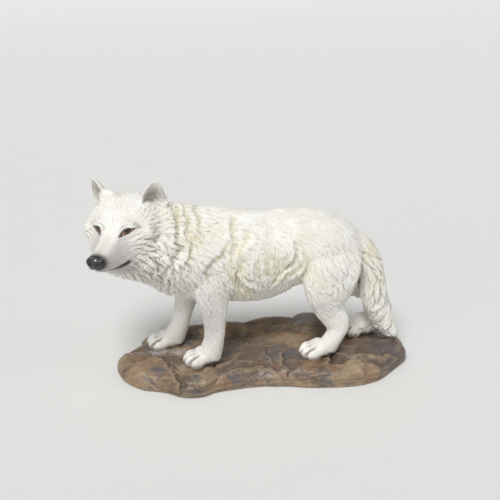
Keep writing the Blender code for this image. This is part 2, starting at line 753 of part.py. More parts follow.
def folds(points, normals):
    """How far the folds of the coat move each vertex along its normal."""
    seen = points[:, (0, 2)] - (0, BASE_GROUND)
    outside = ease(np.abs(points[:, 1]), FOLD_START, FOLD_WHOLE)
    outside *= np.clip(np.abs(normals[:, 1]) * 2, 0, 1)
    outside *= np.sign(points[:, 1]) == np.sign(normals[:, 1])
    shift = FOLD_WAVER * waver(points, FOLD_WAVES, FOLD_SEED)
    moved = np.zeros(len(points))
    for stepped, rows in ((True, LIPS), (False, FURROWS)):
        for height, width, course in rows:
            best, signed, share = along_course(seen, course)
            signed = signed + shift
            fade = ease(np.minimum(share, 1 - share), -FOLD_END / 3, FOLD_END)
            if stepped:
                above = signed * height > 0
                decay = np.where(above, width, FOLD_LOW_WIDTH * width)
                form = np.tanh(signed / FOLD_BLUNTNESS) * np.exp(-(np.abs(signed) / decay) ** 1.3)
                form *= np.where(above, FOLD_ABOVE, FOLD_BELOW)
            else:
                form = np.exp(-((signed / width) ** 2))
            moved += height * form * fade * np.exp(-((best / (2.2 * width)) ** 4))
    return moved * outside


def ground_relief(points, normals):
    """How far the seams and swellings of the rock move each vertex along its normal."""
    flat = points[:, :2]
    moved = np.zeros(len(points))
    for height, width, course in SEAMS:
        best, signed, _ = along_course(flat, course)
        groove = SEAM_GROOVE * np.exp(-((best / width) ** 2))
        step = np.tanh(signed) * np.exp(-((best / (SEAM_REACH * width)) ** 2))
        moved += height * (groove + step)
    for x, y, reach, height in SWELLS:
        moved += height * np.exp(-(((flat - (x, y)) / reach) ** 2).sum(1))
    return moved * np.clip(normals[:, 2] * 2, 0, 1)


def hair_lie(points, normals):
    """The direction of the hair at each point, along the surface."""
    guides = np.array(LIE, float)
    guides = np.concatenate([guides, guides[guides[:, 0] > -90] * (1, -1, 1, 1, -1, 1)])
    places, ways = guides[:, :3] + (0, 0, BASE_GROUND), guides[:, 3:]
    ways = ways / np.linalg.norm(ways, axis=1)[:, None]
    lie = np.zeros_like(points)
    for place, way in zip(places, ways):
        lie += way / (((points - place) ** 2).sum(1)[:, None] + LIE_NEAR ** 2) ** (LIE_FALL / 2)
    lie -= (lie * normals).sum(1)[:, None] * normals
    return lie / (np.linalg.norm(lie, axis=1)[:, None] + 1e-12)


def tufts(points, normals, amount, spacing, length, width, height, seed):
    """Overlapping pointed tufts of hair: how far they lift each vertex."""
    rng = np.random.default_rng(seed)
    lie = hair_lie(points, normals)
    lifted = np.zeros(len(points))
    free = np.ones(len(points), bool)
    for index in rng.permutation(len(points)):
        if not free[index] or amount[index] < 0.05:
            continue
        offset = points - points[index]
        apart = (offset ** 2).sum(1)
        free[apart < spacing ** 2] = False
        near = np.flatnonzero((apart < length ** 2) & (normals @ normals[index] > 0.3))
        way = lie[index]
        aside = np.cross(normals[index], way)
        reach, bend = length * rng.uniform(*TUFT_LENGTHS), rng.uniform(*TUFT_BENDS)
        along = offset[near] @ way / reach
        across = offset[near] @ aside - bend * reach * along * np.abs(along)
        half = width * np.sqrt(np.clip(1 - along, 0, 1)) * np.clip((along + 0.8) / 0.8, 0, 1)
        swell = np.clip(1 - (across / (half + 1e-6)) ** 2, 0, 1)
        slope = np.clip(TUFT_ROOT + (1 - TUFT_ROOT) * along, 0, 1)
        lift = height * rng.uniform(*TUFT_HEIGHTS) * amount[near] * slope * np.sqrt(swell)
        lifted[near] = np.maximum(lifted[near], lift)
    return lifted


def coat_amount(points):
    """How shaggy the coat is: 0 on the rock, face, paws and shins, 1 on the body and the ruff."""
    height = points[:, 2] - BASE_GROUND
    head = into_head(points)
    ruff = ease(head[:, 0], *SHAGGY_HEAD) * ease(head[:, 2], *SHAGGY_EARS)
    ruff = np.maximum(ruff, ease(points[:, 0], *SHAGGY_BODY))
    middle = [(x, y, z + BASE_GROUND) for x, y, z, *_ in TAIL]
    tail = ease(along_course(points, middle)[0], *SHAGGY_TAIL)
    legs = np.maximum(ease(height, *SHAGGY_SHINS), tail)
    back = ease(height, *SMOOTH_BACK) * ease(points[:, 0], *SMOOTH_RUMP)
    return ruff * legs * (1 - BACK_SMOOTHNESS * back)


def cut_flat(mesh):
    """Cuts the underside flat at height 0."""
    shape = bmesh.new()
    shape.from_mesh(mesh)
    everything = shape.verts[:] + shape.edges[:] + shape.faces[:]
    cut = bmesh.ops.bisect_plane(
        shape, geom=everything, dist=1e-7, plane_co=(0, 0, 0), plane_no=(0, 0, 1), clear_inner=True
    )
    rim = [item for item in cut["geom_cut"] if isinstance(item, bmesh.types.BMEdge)]
    bmesh.ops.contextual_create(shape, geom=rim)
    bmesh.ops.recalc_face_normals(shape, faces=shape.faces)
    shape.to_mesh(mesh)
    shape.free()


def link(name, mesh):
    """A scene object that shows the mesh."""
    made = bpy.data.objects.new(name, mesh)
    bpy.context.scene.collection.objects.link(made)
    return made


def thin_out(figure, triangles):
    """Fewer triangles, with the most where the surface bends the most."""
    shape = bmesh.new()
    shape.from_mesh(figure.data)
    bmesh.ops.triangulate(shape, faces=shape.faces)
    shape.to_mesh(figure.data)
    shape.free()
    thin = figure.modifiers.new("thin_out", "DECIMATE")
    thin.ratio = triangles / len(figure.data.polygons)
    graph = bpy.context.evaluated_depsgraph_get()
    return bpy.data.meshes.new_from_object(figure.evaluated_get(graph))


def coat():
    """The wolf without its ears, eyes and paws, with its folds and tufts."""
    body = [trunk(), limb("tail", TAIL), skull()] + face()
    for name, (place, stations) in LEGS.items():
        body.append(limb(name, stations, place[:2]))
    mesh = fuse(body, VOXEL)
    relax(mesh, MASS_STEPS)
    points, normals = coordinates(mesh), coordinates(mesh, "normal")
    points += normals * (folds(points, normals) + face_carving(points))[:, None]
    set_coordinates(mesh, points)
    points, normals = coordinates(mesh), coordinates(mesh, "normal")
    amount = coat_amount(points)
    lift = tufts(points, normals, amount, TUFT_SPACING, TUFT_LENGTH, TUFT_WIDTH, TUFT_HEIGHT, TUFT_SEED)
    points += normals * (lift - TUFT_SINK * TUFT_HEIGHT * amount)[:, None]
    set_coordinates(mesh, points)
    relax(mesh, TUFT_STEPS)
    return mesh


def ground():
    """The slab with its rocks, seams and swellings."""
    rock = [slab()]
    for x, y, height, *radii in ROCKS:
        rock.append(ball("rock", (x, y, BASE_GROUND + height), radii))
    mesh = fuse(rock, VOXEL)
    relax(mesh, GROUND_STEPS)
    points, normals = coordinates(mesh), coordinates(mesh, "normal")
    set_coordinates(mesh, points + normals * ground_relief(points, normals)[:, None])
    return mesh


def white_paint():
    """The figurine's paint."""
    paint = bpy.data.materials.new("white_paint")
    paint.use_nodes = True
    shader = paint.node_tree.nodes["Principled BSDF"]
    shader.inputs["Base Color"].default_value = WHITE_PAINT
    shader.inputs["Roughness"].default_value = PAINT_ROUGHNESS
    shader.inputs["Metallic"].default_value = 0.0
    return paint


def build():
    """Casts the wolf and the rock as one solid, in a collection of its own."""
    clear_scene()
    whole = [link("coat", coat()), link("ground", ground()), ear(1), ear(-1)] + eyes()
    for name in LEGS:
        whole += paw(name)
    mesh = fuse(whole, VOXEL)
    relax(mesh, WHOLE_STEPS)
    cut_flat(mesh)
    figure = link("wolf_figurine", mesh)
    figure.data = thin_out(figure, TRIANGLES)
    figure.modifiers.clear()
    figure.data.materials.clear()
    figure.data.materials.append(white_paint())
    casting = bpy.data.collections.new("wolf_figurine")
    bpy.context.scene.collection.children.link(casting)
    casting.objects.link(figure)
    bpy.context.scene.collection.objects.unlink(figure)
    return figure


build()
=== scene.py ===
"""The finish of the wolf figurine: combed coat, face, paws and rock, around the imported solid.

The wolf walks towards -X with its left side towards -Y and turns its head to that side. Z is up.
Lengths are millimetres, and MM turns them into the frame's metres where a mesh or a lamp is made.
Heights in the tables start from the ground that the wolf stands on.
"""

from __future__ import annotations

import itertools
import json
import logging
import math
from dataclasses import dataclass, field
from enum import Enum

import bmesh
import bpy
import numpy as np
from mathutils import Matrix, Vector

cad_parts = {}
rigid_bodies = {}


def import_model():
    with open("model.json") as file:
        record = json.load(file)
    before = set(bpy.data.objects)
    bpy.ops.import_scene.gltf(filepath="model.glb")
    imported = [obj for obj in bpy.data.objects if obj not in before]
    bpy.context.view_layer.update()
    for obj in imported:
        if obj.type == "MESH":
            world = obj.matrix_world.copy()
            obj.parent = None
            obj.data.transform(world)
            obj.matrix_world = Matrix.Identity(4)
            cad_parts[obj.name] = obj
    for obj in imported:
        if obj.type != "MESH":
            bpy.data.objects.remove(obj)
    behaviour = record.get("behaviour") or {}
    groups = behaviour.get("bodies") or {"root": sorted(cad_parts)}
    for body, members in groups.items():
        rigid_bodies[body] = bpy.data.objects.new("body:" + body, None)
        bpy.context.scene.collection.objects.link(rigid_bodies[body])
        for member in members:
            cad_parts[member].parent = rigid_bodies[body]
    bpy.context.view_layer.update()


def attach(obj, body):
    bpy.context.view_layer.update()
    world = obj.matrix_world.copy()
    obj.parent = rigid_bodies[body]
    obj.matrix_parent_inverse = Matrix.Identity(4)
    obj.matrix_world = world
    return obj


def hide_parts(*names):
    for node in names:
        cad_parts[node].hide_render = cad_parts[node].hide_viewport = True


log = logging.getLogger("wolf")

MM = 0.001
GROUND = 13.0
BODY = "root"
NODE = "wolf_figurine"

Row = tuple[float, ...]
Course = tuple[tuple[float, ...], ...]
Legs = dict[str, tuple[Row, tuple[Row, ...]]]


class Side(Enum):
    """A side of the wolf, as the sign of its left direction."""

    LEFT = 1
    RIGHT = -1


class Slot(Enum):
    """The record's material slots."""

    COAT = "white_paint"
    ROCK = "rock_paint"
    GLOSS = "gloss_paint"


def smooth_rows(rows: np.ndarray, steps: int) -> np.ndarray:
    """Runs a Catmull-Rom curve through the rows of an array.

    Args:
        rows: The rows to pass through.
        steps: How many rows to make for each step between two given ones.

    Returns:
        The denser array.
    """
    rows = np.asarray(rows, float)
    padded = np.concatenate([2 * rows[:1] - rows[1:2], rows, 2 * rows[-1:] - rows[-2:-1]])
    made = []
    for i in range(len(rows) - 1):
        a, b, c, d = padded[i : i + 4]
        for t in np.arange(steps) / steps:
            made.append(
                0.5 * (2 * b + (c - a) * t + (2 * a - 5 * b + 4 * c - d) * t * t
                       + (3 * b - a - 3 * c + d) * t ** 3)
            )
    made.append(rows[-1])
    return np.array(made)


def ramp(values: np.ndarray, start: float, end: float) -> np.ndarray:
    """Rises smoothly from 0 at start to 1 at end.

    Args:
        values: Where to read it.
        start: Where it is 0.
        end: Where it is 1.

    Returns:
        The share at each value.
    """
    t = np.clip((values - start) / (end - start), 0, 1)
    return t * t * (3 - 2 * t)


def bell(values: np.ndarray, width: float | np.ndarray, power: float = 2) -> np.ndarray:
    """Falls smoothly from 1 where the values are 0.

    Args:
        values: The values.
        width: Where it has fallen to about a third.
        power: How square the fall is.

    Returns:
        From 0 to 1.
    """
    return np.exp(-((values / width) ** power))


def spots(places: np.ndarray, rows: tuple[Row, ...]) -> np.ndarray:
    """The strongest of several soft spots at each place.

    Args:
        places: Flat places.
        rows: The middle, the reach along each axis, and the strength.

    Returns:
        The strength at each place.
    """
    found = np.zeros(len(places))
    for x, y, wide, tall, strength in rows:
        spot = strength * np.exp(-(((places - (x, y)) / (wide, tall)) ** 2).sum(1))
        found = np.maximum(found, spot)
    return found


def away_from(points: np.ndarray, middle: Row, radii: Row) -> np.ndarray:
    """How far points lie from an ellipsoid's middle, where 1 is its surface."""
    return np.linalg.norm((points - middle) / radii, axis=1)


def between(below: np.ndarray, above: np.ndarray, share: np.ndarray) -> np.ndarray:
    """Colours between two, with one share for each vertex."""
    return below + np.subtract(above, below) * share[:, None]


def run_starts(lengths: np.ndarray) -> np.ndarray:
    """Where runs of these lengths start when one follows the other."""
    return np.concatenate([[0], np.cumsum(lengths)[:-1]])


def unit(vectors: np.ndarray) -> np.ndarray:
    """Vectors of length 1 in the same directions."""
    return vectors / (np.linalg.norm(vectors, axis=-1, keepdims=True) + 1e-12)


def along_course(points: np.ndarray, course: Course) -> tuple[np.ndarray, np.ndarray, np.ndarray]:
    """Measures points against a smooth course.

    Args:
        points: Places, in as many directions as the course has.
        course: The places that the course passes.

    Returns:
        The distance, the signed distance (positive on the left, for flat courses), and how far
        along the course the nearest place is, from 0 to 1.
    """
    path = smooth_rows(course, 4)
    best = np.full(len(points), np.inf)
    signed = np.zeros(len(points))
    share = np.zeros(len(points))
    pieces = len(path) - 1
    for i in range(pieces):
        start, step = path[i], path[i + 1] - path[i]
        offset = points - start
        t = np.clip(offset @ step / (step @ step), 0, 1)
        distance = np.linalg.norm(offset - t[:, None] * step, axis=1)
        closer = distance < best
        turn = np.sign(step[0] * offset[:, 1] - step[1] * offset[:, 0])
        signed = np.where(closer, turn * distance, signed)
        share = np.where(closer, (i + t) / pieces, share)
        best = np.minimum(best, distance)
    return best, signed, share


def ripple(points: np.ndarray, wavelength: float, seed: int) -> np.ndarray:
    """A smooth noise of sines, mostly between -1 and 1.

    Args:
        points: Where to read it.
        wavelength: About how far apart its crests are.
        seed: Which noise.

    Returns:
        The noise at each point.
    """
    rng = np.random.default_rng(seed)
    total = np.zeros(len(points))
    waves = 7
    for _ in range(waves):
        way = unit(rng.normal(size=points.shape[1]))
        turns = 2 * math.pi / wavelength * rng.uniform(0.6, 1.5)
        total += np.sin(points @ way * turns + rng.uniform(0, 2 * math.pi))
    return total / math.sqrt(waves)


def ripples(points: np.ndarray, rows: tuple[Row, ...]) -> np.ndarray:
    """The sum of ripples, given as rows of height, wavelength and seed."""
    return sum(height * ripple(points, wavelength, seed) for height, wavelength, seed in rows)


class Cells:
    """Points sorted into cubes, so that the ones near a place are found quickly."""

    def __init__(self, points: np.ndarray, size: float) -> None:
        """Sorts the points.

        Args:
            points: The points.
            size: The cubes' width.
        """
        self.size = size
        keys = np.floor(points / size).astype(np.int64)
        order = np.lexsort(keys.T)
        keys = keys[order]
        starts = np.flatnonzero(np.r_[True, (keys[1:] != keys[:-1]).any(1)])
        ends = np.r_[starts[1:], len(order)]
        self.cubes = {tuple(keys[s]): order[s:e] for s, e in zip(starts, ends)}

    def around(self, place: np.ndarray, reach: float) -> np.ndarray:
        """The indices of all points in the cubes that a ball touches.

        Args:
            place: The ball's middle.
            reach: The ball's radius.

        Returns:
            Indices of points, some of them a little outside the ball.
        """
        low = np.floor((place - reach) / self.size).astype(int)
        high = np.floor((place + reach) / self.size).astype(int)
        spans = (range(a, b + 1) for a, b in zip(low, high))
        found = [self.cubes[key] for key in itertools.product(*spans) if key in self.cubes]
        return np.concatenate(found) if found else np.zeros(0, np.int64)


def link(name: str, data: bpy.types.ID) -> bpy.types.Object:
    """Puts a mesh, a lamp or a camera in the scene as an object.

    Args:
        name: The object's name.
        data: What it shows.

    Returns:
        The object.
    """
    made = bpy.data.objects.new(name, data)
    bpy.context.scene.collection.objects.link(made)
    return made


def tube(name: str, rings: list[np.ndarray]) -> bpy.types.Object:
    """A closed mesh through rings of points.

    Args:
        name: The object's name.
        rings: Arrays of places, all of one length.

    Returns:
        The object.
    """
    count, sides = len(rings), len(rings[0])
    points = [tuple(p) for ring in rings for p in np.asarray(ring) * MM]
    faces = []
    for i, j in itertools.product(range(count - 1), range(sides)):
        k = (j + 1) % sides
        faces.append((i * sides + j, i * sides + k, (i + 1) * sides + k, (i + 1) * sides + j))
    faces.append(tuple(reversed(range(sides))))
    faces.append(tuple((count - 1) * sides + j for j in range(sides)))
    mesh = bpy.data.meshes.new(name)
    mesh.from_pydata(points, [], faces)
    shape = bmesh.new()
    shape.from_mesh(mesh)
    bmesh.ops.recalc_face_normals(shape, faces=shape.faces)
    shape.to_mesh(mesh)
    shape.free()
    return link(name, mesh)


def ball(centre: np.ndarray, radii: Row, turn: Matrix | None = None) -> bpy.types.Object:
    """An ellipsoid, to be fused with other masses.

    Args:
        centre: Its middle.
        radii: Its three radii.
        turn: Its rotation.

    Returns:
        The object.
    """
    bpy.ops.mesh.primitive_uv_sphere_add(segments=32, ring_count=20, radius=1.0)
    made = bpy.context.object
    place = Matrix.Translation(Vector(centre) * MM)
    size = Matrix.Diagonal((radii[0] * MM, radii[1] * MM, radii[2] * MM, 1))
    made.matrix_world = place @ (turn or Matrix.Identity(4)) @ size
    return made


def fuse(items: list[bpy.types.Object], voxel: float) -> bpy.types.Mesh:
    """Makes one mesh around everything.

    Args:
        items: Closed objects, which are used up.
        voxel: How fine the mesh is.

    Returns:
        The mesh.
    """
    bpy.ops.object.select_all(action="DESELECT")
    for item in items:
        item.select_set(True)
    bpy.context.view_layer.objects.active = items[0]
    bpy.ops.object.transform_apply(location=True, rotation=True, scale=True)
    if len(items) > 1:
        bpy.ops.object.join()
    joined = bpy.context.view_layer.objects.active
    remesh = joined.modifiers.new("fuse", "REMESH")
    remesh.mode = "VOXEL"
    remesh.voxel_size = voxel * MM
    remesh.adaptivity = 0.0
    graph = bpy.context.evaluated_depsgraph_get()
    mesh = bpy.data.meshes.new_from_object(joined.evaluated_get(graph))
    bpy.data.objects.remove(joined)
    return mesh


class Surface:
    """A closed mesh that is shaped through arrays of places in millimetres."""

    def __init__(self, mesh: bpy.types.Mesh) -> None:
        """Reads the mesh's vertices and edges.

        Args:
            mesh: The mesh, which is changed in place.
        """
        self.mesh = mesh
        self.count = len(mesh.vertices)
        ends = np.empty(len(mesh.edges) * 2, np.int64)
        mesh.edges.foreach_get("vertices", ends)
        self.ends = ends.reshape(-1, 2)
        self.degree = np.bincount(ends, minlength=self.count).astype(float)

    @property
    def points(self) -> np.ndarray:
        """The vertices' places.

        Returns:
            The places in millimetres.
        """
        values = np.empty(self.count * 3)
        self.mesh.vertices.foreach_get("co", values)
        return values.reshape(-1, 3) / MM

    @points.setter
    def points(self, places: np.ndarray) -> None:
        """Moves the vertices."""
        self.mesh.vertices.foreach_set("co", (places * MM).ravel())
        self.mesh.update()

    @property
    def normals(self) -> np.ndarray:
        """The directions out of the surface at the vertices.

        Returns:
            Unit vectors.
        """
        values = np.empty(self.count * 3)
        self.mesh.vertex_normals.foreach_get("vector", values)
        return values.reshape(-1, 3)

    def mean(self, values: np.ndarray) -> np.ndarray:
        """The mean of each vertex's neighbours.

        Args:
            values: One value or row for each vertex.

        Returns:
            Means in the same form.
        """
        a, b = self.ends.T
        columns = values.reshape(self.count, -1)
        total = np.empty_like(columns)
        for i in range(columns.shape[1]):
            total[:, i] = np.bincount(a, columns[b, i], self.count)
            total[:, i] += np.bincount(b, columns[a, i], self.count)
        return (total / self.degree[:, None]).reshape(values.shape)

    def blurred(self, values: np.ndarray, rounds: int) -> np.ndarray:
        """Values that are evened out over the surface.

        Args:
            values: One value or row for each vertex.
            rounds: How many times each takes half of its neighbours' mean.

        Returns:
            The evened values.
        """
        for _ in range(rounds):
            values = 0.5 * values + 0.5 * self.mean(values)
        return values

    def relax(self, rounds: int) -> None:
        """Evens out the shape by so many rounds."""
        self.points = self.blurred(self.points, rounds)

    def swell(self, amounts: np.ndarray) -> None:
        """Moves each vertex out along its normal by its amount."""
        self.points = self.points + self.normals * amounts[:, None]

    def hollows(self, rows: tuple[Row, ...]) -> np.ndarray:
        """How deep each vertex lies in hollows, by rows of rounds and the depth taken as 1."""
        return sum(self.sunk(rounds) / depth for rounds, depth in rows)

    def sunk(self, rounds: int) -> np.ndarray:
        """How far each vertex lies below the surface evened by so many rounds.

        Args:
            rounds: How much the surface is evened.

        Returns:
            Depths, negative on crests.
        """
        points = self.points
        smooth = self.blurred(points, rounds)
        return ((smooth - points) * self.blurred(self.normals, rounds // 2)).sum(1)

    def combed(self, values: np.ndarray, way: np.ndarray, rounds: int) -> np.ndarray:
        """Spreads values along a direction field only, which turns grain into strands.

        Args:
            values: One value for each vertex.
            way: The direction at each vertex.
            rounds: How far they spread.

        Returns:
            The combed values.
        """
        a, b = self.ends.T
        points = self.points
        edge = unit(points[b] - points[a])
        hold_a = np.abs((edge * way[a]).sum(1)) ** 6 + 1e-3
        hold_b = np.abs((edge * way[b]).sum(1)) ** 6 + 1e-3
        total = np.bincount(a, hold_a, self.count) + np.bincount(b, hold_b, self.count)
        for _ in range(rounds):
            drawn = np.bincount(a, hold_a * values[b], self.count)
            drawn += np.bincount(b, hold_b * values[a], self.count)
            values = 0.4 * values + 0.6 * drawn / total
        return values


@dataclass
class HeadFrame:
    """The head's own frame: forward along the muzzle, left, and up, from between the eyes."""

    place: Row = (-114.4, -28.0, 123.3)
    yaw: float = 65.0
    pitch: float = -4.4
    roll: float = 2.5
    axes: np.ndarray = field(init=False)
    origin: np.ndarray = field(init=False)

    def __post_init__(self) -> None:
        """Works out the frame's directions."""
        yaw, pitch, roll = (math.radians(v) for v in (self.yaw, self.pitch, self.roll))
        ahead = np.array((-math.cos(yaw), -math.sin(yaw), 0.0))
        left = np.array((math.sin(yaw), -math.cos(yaw), 0.0))
        up = np.array((0.0, 0.0, 1.0))
        ahead, up = (
            math.cos(pitch) * ahead - math.sin(pitch) * up,
            math.sin(pitch) * ahead + math.cos(pitch) * up,
        )
        left, up = (
            math.cos(roll) * left + math.sin(roll) * up,
            -math.sin(roll) * left + math.cos(roll) * up,
        )
        self.axes = np.stack([ahead, left, up])
        self.origin = np.array(self.place) + (0, 0, GROUND)

    def out(self, points: np.ndarray) -> np.ndarray:
        """Places in the head's frame, as places in the wolf's."""
        return self.origin + np.asarray(points, float) @ self.axes

    def into(self, points: np.ndarray) -> np.ndarray:
        """Places in the wolf's frame, as places in the head's."""
        return (points - self.origin) @ self.axes.T

    def turn(self) -> Matrix:
        """The head's rotation."""
        return Matrix(self.axes.tolist()).transposed().to_4x4()


# The legs by name: x and y of the paw's middle, its turn in degrees and its height to the others';
# then the leg's stations: x and y from the paw's middle, height, radius fore and aft, radius across
LEGS: Legs = {
    "front_left": (
        (-52.5, -14.5, 14.0, 1.0),
        (
            (8.5, 1.5, 84, 18, 11), (10, 0, 70, 15.5, 10.5), (10.5, -0.5, 58, 13, 9),
            (11.3, -0.7, 47, 10.6, 8), (11.7, -0.7, 37, 9, 7.6), (11.7, -0.5, 27, 8.2, 7.4),
            (10.7, -0.3, 19, 8.2, 7.6), (9, 0, 12, 9, 8.2), (7, 0, 5, 9.5, 8.5),
        ),
    ),
    "front_right": (
        (-79.5, 17.0, 10.0, 1.0),
        (
            (27.5, -4, 84, 17, 11), (23.5, -2.5, 68, 14, 10), (21, -1.5, 55, 11, 8.6),
            (19, -1, 43, 9, 7.8), (16.5, -0.5, 32, 7.9, 7.4), (14, 0, 22, 7.7, 7.4),
            (11, 0, 14, 8.4, 7.8), (7.5, 0, 6, 9.5, 8.4),
        ),
    ),
    "hind_left": (
        (40.5, -14.5, 12.0, 1.0),
        (
            (12.5, 5.5, 96, 19, 10), (11.5, 2, 85, 23, 12.5), (10, 0, 73, 23, 12.8),
            (8.7, -0.7, 62, 20.5, 11.8), (8.1, -0.8, 52, 16.4, 10), (9.1, -0.7, 44.5, 12.8, 8.6),
            (12.1, -0.5, 37.5, 10.8, 7.6), (15.9, -0.5, 31, 10, 7), (17.5, -0.5, 25.5, 9, 6.7),
            (15.7, -0.3, 19.5, 7.8, 6.7), (12.5, 0, 13, 7.6, 7.3), (8.5, 0, 6, 8.5, 8),
        ),
    ),
    "hind_right": (
        (82.5, 17.0, 0.0, 1.35),
        (
            (-29.5, -8, 96, 18, 10), (-29.5, -4.5, 85, 22, 12.5), (-27.5, -2.5, 72, 20, 12.5),
            (-20.5, -1.5, 60, 15.5, 11), (-10.5, -0.8, 51, 12, 9.4), (1.5, -0.2, 43.5, 9.8, 8),
            (11.5, 0, 37, 8.8, 6.8), (16, 0, 30, 8.4, 6.8), (15.5, 0, 22, 8.4, 7.2),
            (12.5, 0, 14, 10, 8), (8.5, 0, 6, 11, 8.6),
        ),
    ),
}


@dataclass
class Masses:
    """The wolf's smooth masses, before the coat is carved: trunk, neck, legs and tail."""

    # x, y, height of the middle, half height, half width
    trunk: tuple[Row, ...] = (
        (-76, -1.5, 98.5, 34.5, 26.5),
        (-63, 0, 93, 37, 26.5),
        (-50, 0, 89, 38.5, 26),
        (-36, 0, 86.9, 38.9, 25.5),
        (-22, 0, 85.8, 38.2, 25.5),
        (-8, 0, 84.8, 38.2, 25),
        (4, 0, 86.4, 36.4, 24),
        (14, 0, 89, 34, 22.5),
        (26, 0, 90.5, 32, 21.5),
        (40, 0, 90, 31, 22),
        (54, 0, 89.8, 26.7, 21.5),
        (66, 0, 88.8, 19.2, 18),
        (73, 0, 87.8, 12.4, 13),
    )
    # how far from the nape to the shoulders, then half height and half width
    neck: tuple[Row, ...] = ((0.0, 18, 16), (0.27, 28, 22), (0.6, 31, 25))
    nape: Row = (-20.6, 0.0, -12.8)
    legs: Legs = field(default_factory=lambda: dict(LEGS))
    # x, y, height, radius fore and aft, radius across
    tail: tuple[Row, ...] = (
        (60, 0, 93, 14, 12), (72, 0, 90.5, 11.5, 11), (80.5, 0, 82.5, 10, 10.5),
        (85.8, 0, 71.5, 10, 10.2), (88.4, 0, 59.5, 10.4, 10.4), (90, 0, 47.5, 11, 10.6),
        (92.8, 0.5, 36, 10.6, 10.2), (97.5, 0.8, 25.5, 9.4, 9), (102, 1, 16, 7.8, 7.4),
        (107.4, 1, 8, 5.2, 5.0), (112, 1, 2.2, 2.0, 2.0),
    )
    keel: float = 0.25
    sides: int = 32
    steps: int = 5

    def limb(
        self, name: str, stations: tuple[Row, ...], place: Row = (0, 0), keel: float = 0.0
    ) -> bpy.types.Object:
        """A tube through stations.

        Args:
            name: The mass's name.
            stations: Rows of x, y, height, radius fore and aft, radius across.
            place: What the stations' x and y start from.
            keel: How much narrower the lower half of each ring is.

        Returns:
            The mass.
        """
        path = smooth_rows(stations, self.steps)
        centre = path[:, :3] + (*place, GROUND)
        along = unit(np.gradient(centre, axis=0))
        across = np.array((0.0, 1.0, 0.0))
        angles = np.arange(self.sides) * 2 * math.pi / self.sides
        rings = []
        for middle, direction, radii in zip(centre, along, path[:, 3:]):
            outward = unit(np.cross(direction, across))
            rise = np.sin(angles)
            narrow = 1 - keel * np.clip(-rise, 0, 1) ** 1.5
            ring = middle + np.outer(radii[0] * rise, outward)
            rings.append(ring + np.outer(radii[1] * np.cos(angles) * narrow, across))
        return tube(name, rings)

    def build(self, head: HeadFrame) -> list[bpy.types.Object]:
        """Makes the masses.

        Args:
            head: The head's frame, which the neck starts in.

        Returns:
            Trunk, tail and legs.
        """
        nape = head.out([self.nape])[0] - (0, 0, GROUND)
        shoulders = np.array(self.trunk[0][:3])
        neck = [(*(nape + share * (shoulders - nape)), *radii) for share, *radii in self.neck]
        trunk = self.limb("trunk", (*neck, *self.trunk), keel=self.keel)
        made = [trunk, self.limb("tail", self.tail)]
        for name, (place, stations) in self.legs.items():
            made.append(self.limb(name, stations, place[:2]))
        return made


@dataclass
class Paws:
    """The four paws with their toes."""

    # from heel to toe tips: forward, height of the middle, half height, half width
    shape: tuple[Row, ...] = (
        (-14, 4.0, 3.4, 5.0), (-9, 6.0, 6.4, 8.0), (-2.5, 7.0, 7.2, 9.6), (3, 5.8, 6.0, 9.8),
        (7, 4.2, 4.4, 8.4),
    )
    # forward, to the left, height, then the radii
    toes: tuple[Row, ...] = (
        (4.5, -7.7, 4.4, 5.8, 3.1, 5.2), (7.2, -2.8, 5.0, 6.2, 3.2, 5.8),
        (7.2, 2.8, 5.0, 6.2, 3.2, 5.8), (4.5, 7.7, 4.4, 5.8, 3.1, 5.2),
    )
    toe_gap: float = 1.1
    toe_gap_width: float = 0.9
    # the gaps: how far to the left each is, their course as forward, share of that and height,
    # and the ball about them, as forward and height of its middle and radius
    gap_sides: Row = (-5.4, 0.0, 5.4)
    gap_course: Course = ((0, 0.8, 11), (6, 1, 9), (11.5, 1.1, 5), (13.5, 1.15, 0))
    gap_ball: Row = (6, 6, 16)
    sides: int = 28

    def frame(self, place: Row) -> tuple[np.ndarray, np.ndarray]:
        """A paw's middle on the ground, and its forward, left and up directions.

        Args:
            place: The leg's row: x, y, turn in degrees and height to the others'.

        Returns:
            The middle, and the three directions as rows.
        """
        x, y, turn, _ = place
        angle = math.radians(turn)
        ahead = (-math.cos(angle), -math.sin(angle), 0.0)
        left = (math.sin(angle), -math.cos(angle), 0.0)
        return np.array((x, y, GROUND)), np.array((ahead, left, (0.0, 0.0, 1.0)))

    def build(self, legs: Legs) -> list[bpy.types.Object]:
        """Makes the paws' masses.

        Args:
            legs: The legs, whose first row places each paw.

        Returns:
            A pad and four toes for each leg.
        """
        made = []
        angles = np.arange(self.sides) * 2 * math.pi / self.sides
        for name, (place, _) in legs.items():
            origin, axes = self.frame(place)
            tall = place[3]
            rings = []
            for ahead, height, half_height, half_width in smooth_rows(self.shape, 4):
                ring = origin + axes[0] * ahead + axes[2] * height * tall
                ring = ring + np.outer(np.sin(angles) * half_height * tall, axes[2])
                rings.append(ring + np.outer(np.cos(angles) * half_width, axes[1]))
            made.append(tube(name, rings))
            turn = Matrix(axes.tolist()).transposed().to_4x4()
            for ahead, aside, height, *radii in self.toes:
                made.append(ball(origin + np.array((ahead, aside, height)) @ axes, radii, turn))
        return made

    def gaps(self, points: np.ndarray, legs: Legs) -> np.ndarray:
        """How near each point is to a gap between two toes.

        Args:
            points: The surface's places.
            legs: The legs, whose first row places each paw.

        Returns:
            From 0 to 1.
        """
        near = np.zeros(len(points))
        for place, _ in legs.values():
            origin, axes = self.frame(place)
            local = (points - origin) @ axes.T
            for aside in self.gap_sides:
                ends = tuple((ahead, aside * share, up) for ahead, share, up in self.gap_course)
                ahead, up, reach = self.gap_ball
                inside = np.linalg.norm(local - (ahead, aside, up), axis=1) < reach
                best = along_course(local[inside], ends)[0]
                near[inside] = np.maximum(near[inside], bell(best, self.toe_gap_width))
        return near


